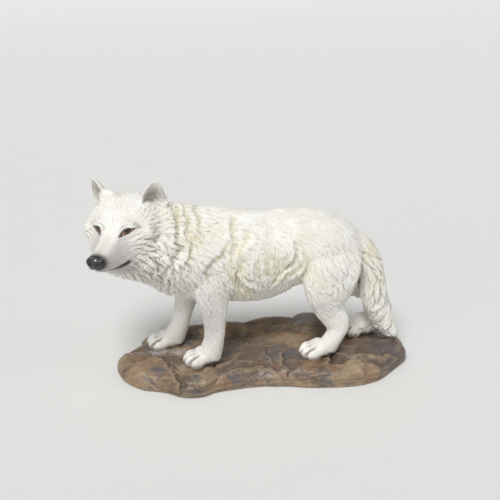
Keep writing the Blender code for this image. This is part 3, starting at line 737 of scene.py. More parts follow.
@dataclass
class Head:
    """Skull, muzzle, ears, eyes and nose."""

    frame: HeadFrame = field(default_factory=HeadFrame)
    # half sections from nose to nape: forward, then (left, up) from the top round to the underside
    sections: tuple[tuple[float, Course], ...] = (
        (30.6, (
            (0, -10.6), (2.6, -10.9), (4.8, -12.2), (5.8, -14.2), (5.5, -16), (4.4, -17.6),
            (2.5, -18.6), (0, -19),
        )),
        (28, (
            (0, -9), (3.6, -9.4), (6.6, -11.2), (7.8, -14), (7.7, -16.6), (6.4, -19), (3.6, -20.5),
            (0, -21),
        )),
        (22.5, (
            (0, -7.6), (3.8, -8.1), (7, -10.4), (8.9, -14), (9.5, -17.6), (8.5, -21), (5, -22.8),
            (0, -23.3),
        )),
        (16, (
            (0, -5.4), (4.2, -6.1), (7.6, -9), (9.8, -13.6), (10.6, -18.4), (9.4, -22.4),
            (6, -24.8), (0, -25.4),
        )),
        (9, (
            (0, -2.6), (4.8, -3.4), (8.6, -6.8), (11.5, -12.6), (12.4, -18.4), (11, -24),
            (7.2, -28), (0, -29),
        )),
        (3, (
            (0, 1.6), (5.6, 0.8), (10.5, -3.4), (14.6, -9.8), (15.6, -18), (13.6, -26), (8.4, -30),
            (0, -31),
        )),
        (-4, (
            (0, 7), (7.6, 6.8), (14.8, 3.6), (20.4, -4), (20.6, -14), (18.2, -26), (11.4, -32.4),
            (0, -34),
        )),
        (-10, (
            (0, 12), (8.6, 11.8), (17.4, 8), (26, -0.4), (24.6, -13), (22, -27), (14.4, -37.4),
            (0, -39.4),
        )),
        (-17, (
            (0, 17), (9.4, 16.6), (18.4, 11.6), (28.8, 0.6), (28.6, -14), (25.4, -29), (17, -41.6),
            (0, -43.4),
        )),
        (-25, (
            (0, 19.6), (10, 19.2), (19.2, 14), (31, 0.4), (32, -15), (28, -31), (18.6, -44.4),
            (0, -46.4),
        )),
        (-33, (
            (0, 20), (10, 19.4), (19.4, 13.8), (31.4, -0.6), (33, -16), (28.6, -32), (19, -45.6),
            (0, -47.6),
        )),
        (-42, (
            (0, 18), (10, 17), (19.2, 10.4), (30, -3), (31.6, -17), (27.4, -32), (18, -44.6),
            (0, -47),
        )),
        (-50, (
            (0, 11), (7, 10), (14, 4), (21, -8), (22, -18), (19.4, -30), (13, -39), (0, -42),
        )),
    )
    # the ruff is pushed to the near side by the turn of the head: how far, below which height in
    # the head's frame, over what depth, and how far back it takes full effect
    ruff_lean: float = 6.0
    ruff_top: float = -10.0
    ruff_depth: float = 35.0
    ruff_back: float = 20.0
    # masses, the same on both sides: forward, left, up, then the radii
    masses: tuple[Row, ...] = (
        (28.6, 0.0, -13.4, 3.6, 7.6, 4.8),
        (19.5, 4.9, -17.6, 6.5, 4.4, 4.4),
        (-3.6, 11.4, 4.6, 4.2, 6.2, 3.0),
        (-9.5, 23.4, -1.6, 5.0, 4.8, 5.2),
        (-14.0, 18.5, -27.0, 8.0, 7.5, 9.0),
    )
    # where the right ear's inner edge runs out on the forehead
    ear_root: Row = (-21.5, 12.5, 19.0, 4.5, 8.5, 6.5)
    # ears from the root to the tip: forward, left, up of the middle, half width, depth
    ear: tuple[Row, ...] = (
        (-27.0, 20.6, 8.0, 10.4, 17.0), (-26.3, 21.4, 15.0, 10.0, 16.0),
        (-25.5, 22.3, 21.0, 8.9, 13.5), (-24.6, 23.2, 25.5, 7.2, 10.5),
        (-23.8, 24.0, 29.2, 5.0, 7.0), (-23.1, 24.6, 31.7, 2.8, 4.0), (-22.8, 24.8, 32.9, 1.1, 1.6),
    )
    ear_facing: float = 36.0
    ear_wall: float = 2.2
    # the middle of an ear's cup: forward, left
    ear_middle: Row = (-25.5, 22.5)
    # the eye's opening, as left and up, and how it lies on the face
    eye_rim: Course = (
        (7.2, -2.5), (8.2, 0.0), (9.6, 1.7), (11.7, 2.7), (14.0, 2.8), (16.0, 2.2), (14.6, 0.5),
        (12.7, -0.8), (10.4, -1.8), (8.6, -2.4), (7.2, -2.5),
    )
    eye_middle: Row = (0.0, 11.2, 0.2)
    eye_turn: float = 29.0
    # the mouth's line: forward, left, up
    mouth: Course = (
        (29.5, 0.3, -19.6), (27, 3.8, -20.9), (24, 6.6, -21.8), (20.5, 8.4, -22.3),
        (16.5, 9.8, -22.6), (10, 11.4, -22.4), (4.5, 13.8, -20.9),
    )
    brow_furrow: Course = ((6, 0, 2), (-4, 0, 8), (-12, 0, 14), (-20, 0, 18))
    # the crease that runs back from the eye's outer corner
    eye_crease: Course = ((-3.5, 17, 2.2), (-8, 21.5, 2.6), (-14, 26.5, 0.6), (-21, 30, -3))
    # how deep and how wide the carving is: the mouth, with how much it widens to its corner, the
    # lip below it, the rim of the lids, the crease over them, the one behind and the brow's furrow
    mouth_cut: Row = (2.2, 1.1, 0.5)
    lip_swell: Row = (0.5, 3.4)
    socket_depth: float = 2.4
    lid_swell: Row = (0.7, 0.8)
    lid_crease: Row = (0.8, 0.8)
    corner_crease: Row = (0.9, 1.1)
    brow_cut: Row = (0.8, 2.2)
    # how far outside the eye's opening the lids' rim and their crease lie
    lid_at: float = 0.9
    lid_crease_at: float = 3.0

    def skull(self) -> bpy.types.Object:
        """The head, muzzle and cheeks as one loft.

        Returns:
            The loft.
        """
        rows = []
        for forward, half in self.sections:
            side = smooth_rows(half, 4)
            loop = np.concatenate([side, side[-2:0:-1] * (-1, 1)])
            low = np.clip((self.ruff_top - loop[:, 1]) / self.ruff_depth, 0, 1)
            low = low * np.clip(-forward / self.ruff_back, 0, 1)
            low *= self.ruff_lean
            loop[:, 0] += low
            loop[:, 1] += np.where(loop[:, 0] < 0, 0.5, 0.0) * low
            rows.append(np.column_stack([np.full(len(loop), forward), loop]).ravel())
        rings = [self.frame.out(row.reshape(-1, 3)) for row in smooth_rows(rows, 4)]
        return tube("skull", rings)

    def build(self) -> list[bpy.types.Object]:
        """The skull and the masses on it.

        Returns:
            The masses.
        """
        made = [self.skull()]
        for forward, left, up, *radii in self.masses:
            for side in Side if left else (Side.LEFT,):
                centre = self.frame.out([(forward, side.value * left, up)])[0]
                made.append(ball(centre, radii, self.frame.turn()))
        forward, left, up, *radii = self.ear_root
        centre = self.frame.out([(forward, Side.RIGHT.value * left, up)])[0]
        made.append(ball(centre, radii, self.frame.turn()))
        return made

    def ear_shell(self, side: Side) -> bpy.types.Object:
        """One ear: a cupped shell that opens forwards and outwards.

        Args:
            side: Which ear.

        Returns:
            The shell.
        """
        facing = math.radians(self.ear_facing)
        sign = side.value
        opening = np.array((math.cos(facing), sign * math.sin(facing), 0.0))
        across = np.array((-math.sin(facing), sign * math.cos(facing), 0.0))
        angles = np.linspace(0, math.pi, 15)
        rings = []
        for forward, left, up, half_width, depth in smooth_rows(self.ear, 6):
            middle = np.array((forward, sign * left, up))
            wall = min(self.ear_wall, depth * 0.45)
            back = middle - np.outer(np.sin(angles) * depth * 0.5, opening)
            back += np.outer(np.cos(angles) * half_width, across)
            inner = max(half_width - wall, half_width * 0.4)
            front = middle - np.outer(np.sin(angles[::-1]) * (depth * 0.5 - wall), opening)
            front += np.outer(np.cos(angles[::-1]) * inner, across) + opening * 0.4
            rings.append(self.frame.out(np.concatenate([back, front])))
        return tube("ear", rings)

    def eye_axes(self, side: Side) -> tuple[np.ndarray, np.ndarray]:
        """An eye's middle, and its outward, left and up directions, in the head's frame.

        Args:
            side: Which eye.

        Returns:
            The middle, and the three directions as rows.
        """
        turn = math.radians(self.eye_turn) * side.value
        out = np.array((math.cos(turn), math.sin(turn), 0.0))
        left = np.array((-math.sin(turn), math.cos(turn), 0.0))
        middle = np.array(self.eye_middle) * (1, side.value, 1)
        return middle, np.array((out, left, (0.0, 0.0, 1.0)))

    def carve(self, surface: Surface) -> dict[str, np.ndarray]:
        """Carves mouth, eyes, lids and furrows.

        Args:
            surface: The wolf's surface.

        Returns:
            For each vertex, how near it is to the eyes' rims, the mouth and the lids' creases, and
            whether it lies within an eye's opening.
        """
        points = self.frame.into(surface.points)
        near = np.flatnonzero(np.linalg.norm(points - (0, 0, -8), axis=1) < 46)
        local = points[near]
        moved = np.zeros(len(near))
        rim, lips, crease, white = (np.zeros(len(near)) for _ in range(4))
        for side in Side:
            mirrored = local * (1, side.value, 1)
            best, _, share = along_course(mirrored, self.mouth)
            depth, narrow, widening = self.mouth_cut
            wide = narrow + widening * share
            moved -= depth * bell(best, wide)
            swell, reach = self.lip_swell
            moved += swell * (bell(best, reach) * ramp(mirrored[:, 2] + 22, 0, 3))
            lips = np.maximum(lips, bell(best, wide * 1.2, 4))
            flat = mirrored[:, 1:]
            gap = self.rim_gap(flat)
            facing = np.where(np.abs(mirrored[:, 0]) < 9, 1.0, 0.0)
            moved -= self.socket_depth * facing * (1 - ramp(gap, -0.9, 0.2))
            swell, reach = self.lid_swell
            moved += swell * facing * bell(gap - self.lid_at, reach)
            depth, reach = self.lid_crease
            over = facing * bell(gap - self.lid_crease_at, reach) * ramp(flat[:, 1], 0.5, 3)
            moved -= depth * over
            upper = ramp(flat[:, 1] - 0.42 * (flat[:, 0] - 11.3), -1.5, 1.0)
            line = bell(gap + 0.1, 0.42 + 0.42 * upper)
            rim = np.maximum(rim, facing * line * (0.7 + 0.3 * upper))
            white = np.maximum(white, facing * (1 - ramp(gap, -0.6, 0.2)))
            crease = np.maximum(crease, over)
            best = along_course(mirrored, self.eye_crease)[0]
            depth, reach = self.corner_crease
            moved -= depth * bell(best, reach)
            crease = np.maximum(crease, bell(best, 1.2))
        best = along_course(local, self.brow_furrow)[0]
        depth, reach = self.brow_cut
        moved -= depth * bell(best, reach)
        amounts = np.zeros(surface.count)
        amounts[near] = moved
        surface.swell(amounts)
        found = {}
        for name, values in (("rim", rim), ("lips", lips), ("crease", crease), ("white", white)):
            found[name] = np.zeros(surface.count)
            found[name][near] = values
        return found

    def rim_gap(self, points: np.ndarray) -> np.ndarray:
        """How far flat points lie outside the eye's opening, as left and up; inside is negative.

        Args:
            points: Places as left and up.

        Returns:
            The distances.
        """
        outline = smooth_rows(self.eye_rim, 4)
        odd = np.zeros(len(points), bool)
        for a, b in zip(outline, np.roll(outline, -1, 0)):
            spans = (a[1] > points[:, 1]) != (b[1] > points[:, 1])
            cross = a[0] + (points[:, 1] - a[1]) * (b[0] - a[0]) / (b[1] - a[1] + 1e-9)
            odd ^= spans & (points[:, 0] < cross)
        return np.where(odd, -1, 1) * along_course(points, self.eye_rim)[0]


@dataclass
class Coat:
    """The carved coat: the folds of the flanks, and the locks and strands of the hair."""

    # folds seen from the side: how far the surface steps, how wide, and x and height of the course;
    # a positive step is high on the left of the course
    lips: tuple[tuple[float, float, Course], ...] = (
        (-3.0, 6, ((-76, 148), (-73, 136), (-69, 122), (-70, 110), (-75, 95), (-83, 84))),
        (-2.6, 4.5, (
            (-64, 148), (-62, 136), (-61, 125), (-62, 115), (-59, 107), (-63, 96), (-66, 85),
        )),
        (-2.2, 3.5, ((-70, 149), (-69, 139), (-67, 129), (-69, 121))),
        (-2.0, 4.5, ((-57, 146), (-55, 134), (-53, 124), (-49, 113))),
        (-2.2, 8, ((-29, 109), (-35, 102), (-42, 95), (-48, 87), (-47, 81), (-44, 75))),
        (-1.6, 6, ((-27, 129), (-27, 116), (-27, 102), (-31, 97))),
        (2.2, 4.5, ((-21, 114), (-22, 101), (-24, 91), (-23, 81), (-25, 74))),
        (-2.0, 4, ((-33, 91), (-31, 83), (-29, 74))),
        (-2.0, 4, ((-24, 84), (-25, 75), (-22, 67))),
        (2.4, 5, ((-10, 113), (-15, 107), (-19, 101), (-17, 94), (-13, 85))),
        (-2.6, 5, ((21, 105), (18, 100), (19, 92), (16, 86), (9, 77), (2, 69), (-3, 64))),
        (1.8, 4, ((29, 88), (24, 81), (19, 75), (12, 69))),
        (-2.2, 5, ((24, 97), (29, 87), (27, 78), (24, 70))),
        (-2.0, 4.5, ((75, 85), (73, 74), (70, 65), (66, 56))),
    )
    furrows: tuple[tuple[float, float, Course], ...] = (
        (-2.4, 3.2, ((-21, 96), (-21, 84), (-22, 77), (-19, 70), (-13, 63))),
        (2.0, 2.4, ((-17, 79), (-13, 72), (-8, 67), (-3, 61))),
        (2.0, 2.4, ((17, 83), (11, 76), (5, 69), (-2, 62))),
        (-2.0, 2.8, ((18, 90), (14, 83), (7, 75), (1, 68))),
        (-1.2, 3, ((2, 96), (1, 84), (0, 72))),
        (-1.1, 3, ((8, 93), (7, 84), (4, 75))),
        (-1.4, 2.4, ((13, 94), (11, 86), (7, 79))),
        (-1.2, 2.6, ((-8, 92), (-7, 83), (-4, 74))),
    )
    # the folds' courses waver: how far, and the height, wavelength and seed of the waves
    crinkle: float = 1.5
    crinkles: tuple[Row, ...] = ((1, 17, 3), (0.35, 7, 4))
    # the folds start this far from the middle plane and are whole from there on; in front of the
    # last x they go right round
    fold_start: float = 5.0
    fold_whole: float = 13.0
    fold_chest: float = -50.0
    # how a fold fades towards its ends, how blunt a step is, where its foot lies, how far it
    # reaches to its width, and the shares of its height and width on the high and the low side
    fold_end: Row = (-0.08, 0.25)
    fold_blunt: float = 2.2
    fold_foot: float = 1.6
    fold_reach: float = 2.2
    fold_heights: Row = (0.9, 0.7)
    fold_low_width: float = 0.7
    # how the hair lies on the body: x, y, height, then direction, lock length and lock height
    lie: tuple[Row, ...] = (
        (-100, -28, 84, 0.2, 0.1, -1, 15, 1.9), (-92, -42, 104, 0.6, 0.2, -0.8, 13, 1.6),
        (-90, -12, 136, 0.9, 0.5, 0, 9, 0.6), (-80, -24, 112, 0.45, 0, -0.9, 13, 1.3),
        (-90, -12, 76, 0.3, 0, -1, 15, 1.9), (-70, -24, 88, 0.3, 0, -1, 13, 1.1),
        (-60, -24, 118, 0.6, 0, -0.8, 11, 0.9), (-60, 0, 130, 1, 0, -0.05, 9, 0.6),
        (-48, -24, 108, 0.75, 0, -0.6, 9, 0.6), (-20, 0, 124, 1, 0, 0, 8, 0.45),
        (30, 0, 122, 1, 0, 0, 8, 0.35), (60, 0, 116, 1, 0, -0.4, 8, 0.4),
        (-44, -24, 92, 0.7, 0, -0.8, 9, 0.7), (-44, -24, 70, 0.35, 0, -1, 8, 0.6),
        (-58, -24, 66, 0.2, 0, -1, 9, 0.8), (-20, -24, 108, 0.75, 0, -0.7, 9, 0.7),
        (-22, -24, 78, 0.3, 0, -1, 12, 1.3), (-5, -24, 106, 0.7, 0, -0.7, 8, 0.6),
        (-6, -22, 74, 0.25, 0, -1, 9, 0.7), (8, -22, 90, 0.1, 0, -1, 9, 0.5),
        (12, -22, 104, 0.6, 0, -0.8, 9, 0.6), (12, -20, 80, -0.45, 0, -0.9, 11, 0.9),
        (0, -12, 60, 0.1, 0, -1, 9, 0.8), (30, -22, 108, 0.7, 0, -0.7, 8, 0.5),
        (34, -22, 84, 0.3, 0, -0.95, 9, 0.6), (52, -24, 104, 0.55, 0, -0.85, 9, 0.7),
        (52, -26, 76, 0.4, 0, -0.95, 11, 1.0), (66, -18, 96, 0.5, 0, -0.9, 10, 0.8),
        (66, -20, 70, 0.35, 0, -0.95, 12, 1.3), (46, -24, 52, 0.6, 0, -0.8, 6, 0.45),
        (58, -20, 24, 0, 0, -1, 4, 0.22), (44, -16, 6, -0.9, 0, -0.3, 4, 0.2),
        (-42, -22, 40, 0.3, 0, -1, 5, 0.38), (-42, -22, 20, 0.25, 0, -1, 4.5, 0.3),
        (-54, -16, 6, -0.9, 0, -0.3, 4, 0.2), (-62, 20, 40, 0.1, 0, -1, 4.5, 0.22),
        (-78, 20, 6, -0.9, 0, -0.3, 3, 0.1), (84, 0, 96, 0.8, 0, -0.6, 12, 0.9),
        (90, 0, 80, 0.55, 0, -0.85, 14, 1.2), (94, 0, 62, -0.1, 0, -1, 17, 1.4),
        (98, 0, 44, -0.5, 0, -0.85, 20, 1.5), (102, 0, 24, -0.5, 0, -0.85, 20, 1.4),
        (108, 0, 6, -0.3, 0, -0.9, 15, 0.8), (90, 22, 36, 0.3, 0, -0.9, 5, 0.1),
        (84, 24, 10, -0.6, 0, -0.5, 4, 0.1),
    )
    # how it lies on the head, in the head's frame and the same on both sides
    face_lie: tuple[Row, ...] = (
        (20, 0, -7, -1, 0, 0.3, 3, 0.08), (8, 0, -2, -1, 0, 0.3, 3, 0.1),
        (-4, 3, 8, -1, 0.15, 0.9, 5, 0.45), (-14, 5, 17, -1, 0.2, 0.3, 6, 0.45),
        (-4, 14, 6, -0.5, 0.7, 0.6, 5, 0.35), (4, 9, -7, -0.9, 0.3, -0.2, 4, 0.2),
        (-3, 16, -10, -0.8, 0.6, -0.25, 6, 0.7), (16, 9, -15, -1, 0.1, -0.05, 3, 0.08),
        (6, 13, -16, -0.95, 0.3, -0.2, 4, 0.25), (-12, 25, -8, -0.75, 0.5, -0.4, 11, 1.6),
        (-10, 21, -20, -0.6, 0.35, -0.7, 12, 2.1), (-16, 24, -32, -0.3, 0.2, -0.9, 13, 2.5),
        (-4, 14, -26, -0.8, 0.2, -0.5, 8, 0.9), (-15, 24, 3, -0.8, 0.5, 0.1, 8, 0.9),
        (-20, 29, -4, -0.8, 0.4, -0.4, 10, 1.2), (-34, 20, 8, -0.9, 0.1, -0.3, 9, 0.9),
        (-28, 31, -14, -0.7, 0.25, -0.7, 15, 2.6), (-26, 27, -34, -0.3, 0.15, -0.9, 16, 2.8),
        (-14, 0, -40, -0.5, 0, -0.85, 12, 1.4), (-34, 0, 20, -1, 0, -0.2, 8, 0.6),
        (14, 0, -25, -1, 0, -0.1, 3, 0.1), (-26, 22, 24, -0.3, 0.1, 0.95, 4, 0.1),
        (-21, 14, 12, -0.6, 0.2, 0.8, 6, 0.7),
    )
    # how far apart locks start along and across the hair, and how wide they are, to their length
    apart: tuple[float, float] = (0.60, 0.34)
    slim: float = 0.225
    spread: float = 1.8
    softness: float = 30.0
    seed: int = 11
    strand_seed: int = 5
    strand_height: float = 0.32
    # how the locks differ: shares of their length, height and width, and how far they bend
    lengths: Row = (0.75, 1.25)
    heights: Row = (0.55, 1.35)
    widths: Row = (0.8, 1.25)
    bends: Row = (-0.3, 0.3)
    # how far a lock reaches back from its middle, how pointed it is, and the grooves along it:
    # how far apart and how deep
    root: float = 0.45
    point: float = 0.65
    groove_width: float = 0.8
    groove_depth: float = 0.16

    def guides(self, head: HeadFrame) -> np.ndarray:
        """All guides in the wolf's frame, with the near side's repeated on the far side.

        Args:
            head: The head's frame.

        Returns:
            Rows as in the tables.
        """
        rows = np.array(self.lie, float)
        rows = np.concatenate([rows, rows[rows[:, 0] > -90] * (1, -1, 1, 1, -1, 1, 1, 1)])
        rows[:, 2] += GROUND
        face = np.array(self.face_lie, float)
        face = np.concatenate([face, face[face[:, 1] > 0] * (1, -1, 1, 1, -1, 1, 1, 1)])
        face[:, :3], face[:, 3:6] = head.out(face[:, :3]), face[:, 3:6] @ head.axes
        rows = np.concatenate([rows, face])
        rows[:, 3:6] = unit(rows[:, 3:6])
        return rows

    def comb(
        self, points: np.ndarray, normals: np.ndarray, head: HeadFrame
    ) -> tuple[np.ndarray, ...]:
        """Spreads the guides over the surface.

        Args:
            points: The surface's places.
            normals: The directions out of it.
            head: The head's frame.

        Returns:
            The hair's direction along the surface, the locks' length and their height.
        """
        total = np.zeros((len(points), 5))
        weights = np.zeros(len(points))
        for row in self.guides(head):
            weight = (((points - row[:3]) ** 2).sum(1) + self.softness) ** -self.spread
            total += weight[:, None] * row[3:]
            weights += weight
        total /= weights[:, None]
        way = total[:, :3] - (total[:, :3] * normals).sum(1)[:, None] * normals
        return unit(way), total[:, 3], total[:, 4]

    def fold(self, surface: Surface) -> np.ndarray:
        """Carves the folds.

        Args:
            surface: The wolf's surface.

        Returns:
            How near each vertex is to the bottom of a fold.
        """
        points, normals = surface.points, surface.normals
        wave = ripples(points, self.crinkles)
        seen = points[:, (0, 2)] - (0, GROUND)
        outside = ramp(np.abs(points[:, 1]), self.fold_start, self.fold_whole)
        outside = outside * np.clip(np.abs(normals[:, 1]) * 2, 0, 1)
        outside *= np.sign(points[:, 1]) == np.sign(normals[:, 1])
        outside = np.where(points[:, 0] < self.fold_chest, 1.0, outside)
        moved, valley = np.zeros(len(points)), np.zeros(len(points))
        for kind, rows in (("lip", self.lips), ("furrow", self.furrows)):
            for height, width, course in rows:
                near = np.flatnonzero(np.abs(seen - np.mean(course, 0)).sum(1) < 80)
                best, signed, share = along_course(seen[near], course)
                fade = ramp(share, *self.fold_end) * ramp(1 - share, *self.fold_end)
                signed = signed + self.crinkle * wave[near]
                if kind == "lip":
                    side = signed * np.sign(height)
                    decay = np.where(side > 0, width, self.fold_low_width * width)
                    step = np.tanh(signed / self.fold_blunt) * bell(np.abs(signed), decay, 1.3)
                    step *= np.where(side > 0, *self.fold_heights)
                    low = bell(side + self.fold_foot, self.fold_blunt)
                else:
                    step = bell(signed, width)
                    low = step if height < 0 else 0 * step
                reach = bell(best, self.fold_reach * width, 4)
                moved[near] += height * step * fade * reach
                valley[near] = np.maximum(valley[near], fade * reach * low)
        surface.swell(moved * outside)
        return valley * outside

    def locks(self, surface: Surface, head: HeadFrame, scale: float, seed: int) -> np.ndarray:
        """Overlapping pointed locks of hair.

        Args:
            surface: The wolf's surface.
            head: The head's frame.
            scale: The locks' size to the guides'.
            seed: Which scatter.

        Returns:
            How far each vertex is lifted.
        """
        points, normals = surface.points, surface.normals
        way, length, height = self.comb(points, normals, head)
        length, height = length * scale, height * scale
        rng = np.random.default_rng(seed)
        cells = Cells(points, 4.0)
        lifted = np.zeros(len(points))
        free = np.ones(len(points), bool)
        for index in rng.permutation(len(points)):
            if not free[index]:
                continue
            place, out, ahead = points[index], normals[index], way[index]
            reach = length[index] * rng.uniform(*self.lengths)
            tall = height[index] * rng.uniform(*self.heights)
            bend = rng.uniform(*self.bends)
            wide = self.slim * length[index] * rng.uniform(*self.widths)
            grooves = max(1, round(wide / self.groove_width))
            phase = rng.uniform(0, 2 * math.pi)
            near = cells.around(place, reach * 1.05)
            offset = points[near] - place
            kept = ((offset ** 2).sum(1) < (reach * 1.05) ** 2) & (normals[near] @ out > 0.2)
            near, offset = near[kept], offset[kept]
            along, across = offset @ ahead, offset @ np.cross(out, ahead)
            crowd = (along / self.apart[0]) ** 2 + (across / self.apart[1]) ** 2
            free[near[crowd < length[index] ** 2]] = False
            free[index] = False
            along /= reach
            across -= bend * reach * along * np.abs(along)
            half = wide * np.clip(1 - along, 0, 1) ** self.point
            half = half * ramp(along, -self.root, 0.1) + 1e-6
            part = np.clip(across / half, -1, 1)
            swell = np.sqrt(np.clip(1 - part * part, 0, 1))
            groove = self.groove_depth * np.cos(math.pi * grooves * part + phase)
            rise = tall * np.clip(0.15 + 0.7 * (along + self.root), 0, 1) * swell * (1 + groove)
            lifted[near] = np.maximum(lifted[near], rise)
        return lifted

    def strands(self, surface: Surface, way: np.ndarray, rounds: int) -> np.ndarray:
        """Fine strands along the hair's direction, about -1 to 1.

        Args:
            surface: The wolf's surface.
            way: The hair's direction at each vertex.
            rounds: How long the strands are.

        Returns:
            One value for each vertex.
        """
        rng = np.random.default_rng(self.strand_seed)
        grain = surface.combed(rng.normal(size=surface.count), way, rounds)
        grain -= surface.blurred(grain, 5)
        return np.clip(grain / (np.std(grain) * 1.6), -1.4, 1.4)


class Wire:
    """A socket that takes part in arithmetic on values."""

    def __init__(self, shader: Shader, socket: bpy.types.NodeSocket) -> None:
        """Keeps the socket and the shader that it belongs to."""
        self.shader = shader
        self.socket = socket

    def __add__(self, other: Wire | float) -> Wire:
        """The sum."""
        return self.shader.math("ADD", self, other)

    def __radd__(self, other: float) -> Wire:
        """The sum."""
        return self.shader.math("ADD", other, self)

    def __sub__(self, other: Wire | float) -> Wire:
        """The difference."""
        return self.shader.math("SUBTRACT", self, other)

    def __rsub__(self, other: float) -> Wire:
        """The difference."""
        return self.shader.math("SUBTRACT", other, self)

    def __mul__(self, other: Wire | float) -> Wire:
        """The product."""
        return self.shader.math("MULTIPLY", self, other)

    def __rmul__(self, other: float) -> Wire:
        """The product."""
        return self.shader.math("MULTIPLY", other, self)

    def __truediv__(self, other: Wire | float) -> Wire:
        """The quotient."""
        return self.shader.math("DIVIDE", self, other)


class Shader:
    """A material that is built node by node."""

    def __init__(self, name: str) -> None:
        """Starts an empty material with a Principled shader and its output.

        Args:
            name: The material's name.
        """
        self.material = bpy.data.materials.new(name)
        self.material.use_nodes = True
        self.tree = self.material.node_tree
        self.tree.nodes.clear()
        self.surface = self.tree.nodes.new("ShaderNodeBsdfPrincipled")
        self.output = self.tree.nodes.new("ShaderNodeOutputMaterial")
        self.tree.links.new(self.surface.outputs["BSDF"], self.output.inputs["Surface"])

    def node(
        self, kind: str, settings: dict | None = None, inputs: dict | None = None
    ) -> bpy.types.Node:
        """Adds a node.

        Args:
            kind: The node's type.
            settings: Its own settings, and the stops of a ramp, which are set first.
            inputs: Values or wires for its sockets, by name or number.

        Returns:
            The node.
        """
        made = self.tree.nodes.new(kind)
        for name, value in (settings or {}).items():
            if name == "stops":
                elements = made.color_ramp.elements
                while len(elements) < len(value):
                    elements.new(0.5)
                for element, (position, colour) in zip(elements, value):
                    element.position = position
                    element.color = colour
            else:
                setattr(made, name, value)
        for key, value in (inputs or {}).items():
            self.feed(made.inputs[key], value)
        return made

    def feed(self, socket: bpy.types.NodeSocket, value: Wire | float | tuple) -> None:
        """Links or sets one socket.

        Args:
            socket: The socket.
            value: What it takes.
        """
        if isinstance(value, Wire):
            self.tree.links.new(value.socket, socket)
        else:
            socket.default_value = value

    def wire(self, node: bpy.types.Node, output: str | int = 0) -> Wire:
        """One output of a node."""
        return Wire(self, node.outputs[output])

    def math(self, operation: str, *values: Wire | float, clamp: bool = False) -> Wire:
        """A Math node on values."""
        settings = {"operation": operation, "use_clamp": clamp}
        return self.wire(self.node("ShaderNodeMath", settings, dict(enumerate(values))))

    def vector(self, operation: str, *values: Wire | Row, output: str | int = 0) -> Wire:
        """A Vector Math node.

        Args:
            operation: What it does.
            values: Its inputs.
            output: Which output is read.

        Returns:
            That output.
        """
        node = self.node("ShaderNodeVectorMath", {"operation": operation})
        for number, value in enumerate(values):
            self.feed(node.inputs[number], value)
        return self.wire(node, output)

    def mix(self, factor: Wire | float, a: Wire | Row, b: Wire | Row, blend: str = "MIX") -> Wire:
        """A mix of two colours."""
        settings = {"data_type": "RGBA", "blend_type": blend}
        return self.wire(self.node("ShaderNodeMix", settings, {0: factor, 6: a, 7: b}), 2)

    def attribute(self, name: str, output: str = "Fac") -> Wire:
        """A value or vector stored on the mesh."""
        return self.wire(self.node("ShaderNodeAttribute", {"attribute_name": name}), output)

    def place(self) -> Wire:
        """The place on the object, in metres."""
        return self.wire(self.node("ShaderNodeTexCoord"), "Object")

    def noise(self, place: Wire, scale: float, detail: float = 3.0, rough: float = 0.55) -> Wire:
        """A noise around 0.5."""
        inputs = {"Vector": place, "Scale": scale, "Detail": detail, "Roughness": rough}
        return self.wire(self.node("ShaderNodeTexNoise", None, inputs), 0)

    def step(self, value: Wire, start: float, end: float) -> Wire:
        """Rises smoothly from 0 at start to 1 at end.

        Args:
            value: What rises.
            start: Where it is 0.
            end: Where it is 1.

        Returns:
            From 0 to 1.
        """
        inputs = {0: value, 1: start, 2: end, 3: 0.0, 4: 1.0}
        settings = {"interpolation_type": "SMOOTHSTEP"}
        return self.wire(self.node("ShaderNodeMapRange", settings, inputs))

    def bump(self, height: Wire, distance: float, strength: float = 1.0) -> Wire:
        """Feeds the shader's normal from a height and returns that normal.

        Args:
            height: The height.
            distance: The height's unit, in metres.
            strength: How strong the bump is.

        Returns:
            The normal.
        """
        inputs = {"Height": height, "Distance": distance, "Strength": strength}
        made = self.wire(self.node("ShaderNodeBump", None, inputs))
        self.feed(self.surface.inputs["Normal"], made)
        return made

    def set(self, **values: Wire | float | Row) -> None:
        """Feeds the shader's sockets, whose names are written with underscores."""
        for name, value in values.items():
            self.feed(self.surface.inputs[name.replace("_", " ")], value)


def rgb(red: int, green: int, blue: int) -> Row:
    """A colour as written on screen, as the shader's own values.

    Args:
        red: 0 to 255.
        green: 0 to 255.
        blue: 0 to 255.

    Returns:
        The colour and 1.
    """
    values = []
    for part in (red, green, blue):
        share = part / 255
        values.append(share / 12.92 if share <= 0.04045 else ((share + 0.055) / 1.055) ** 2.4)
    return (*values, 1.0)


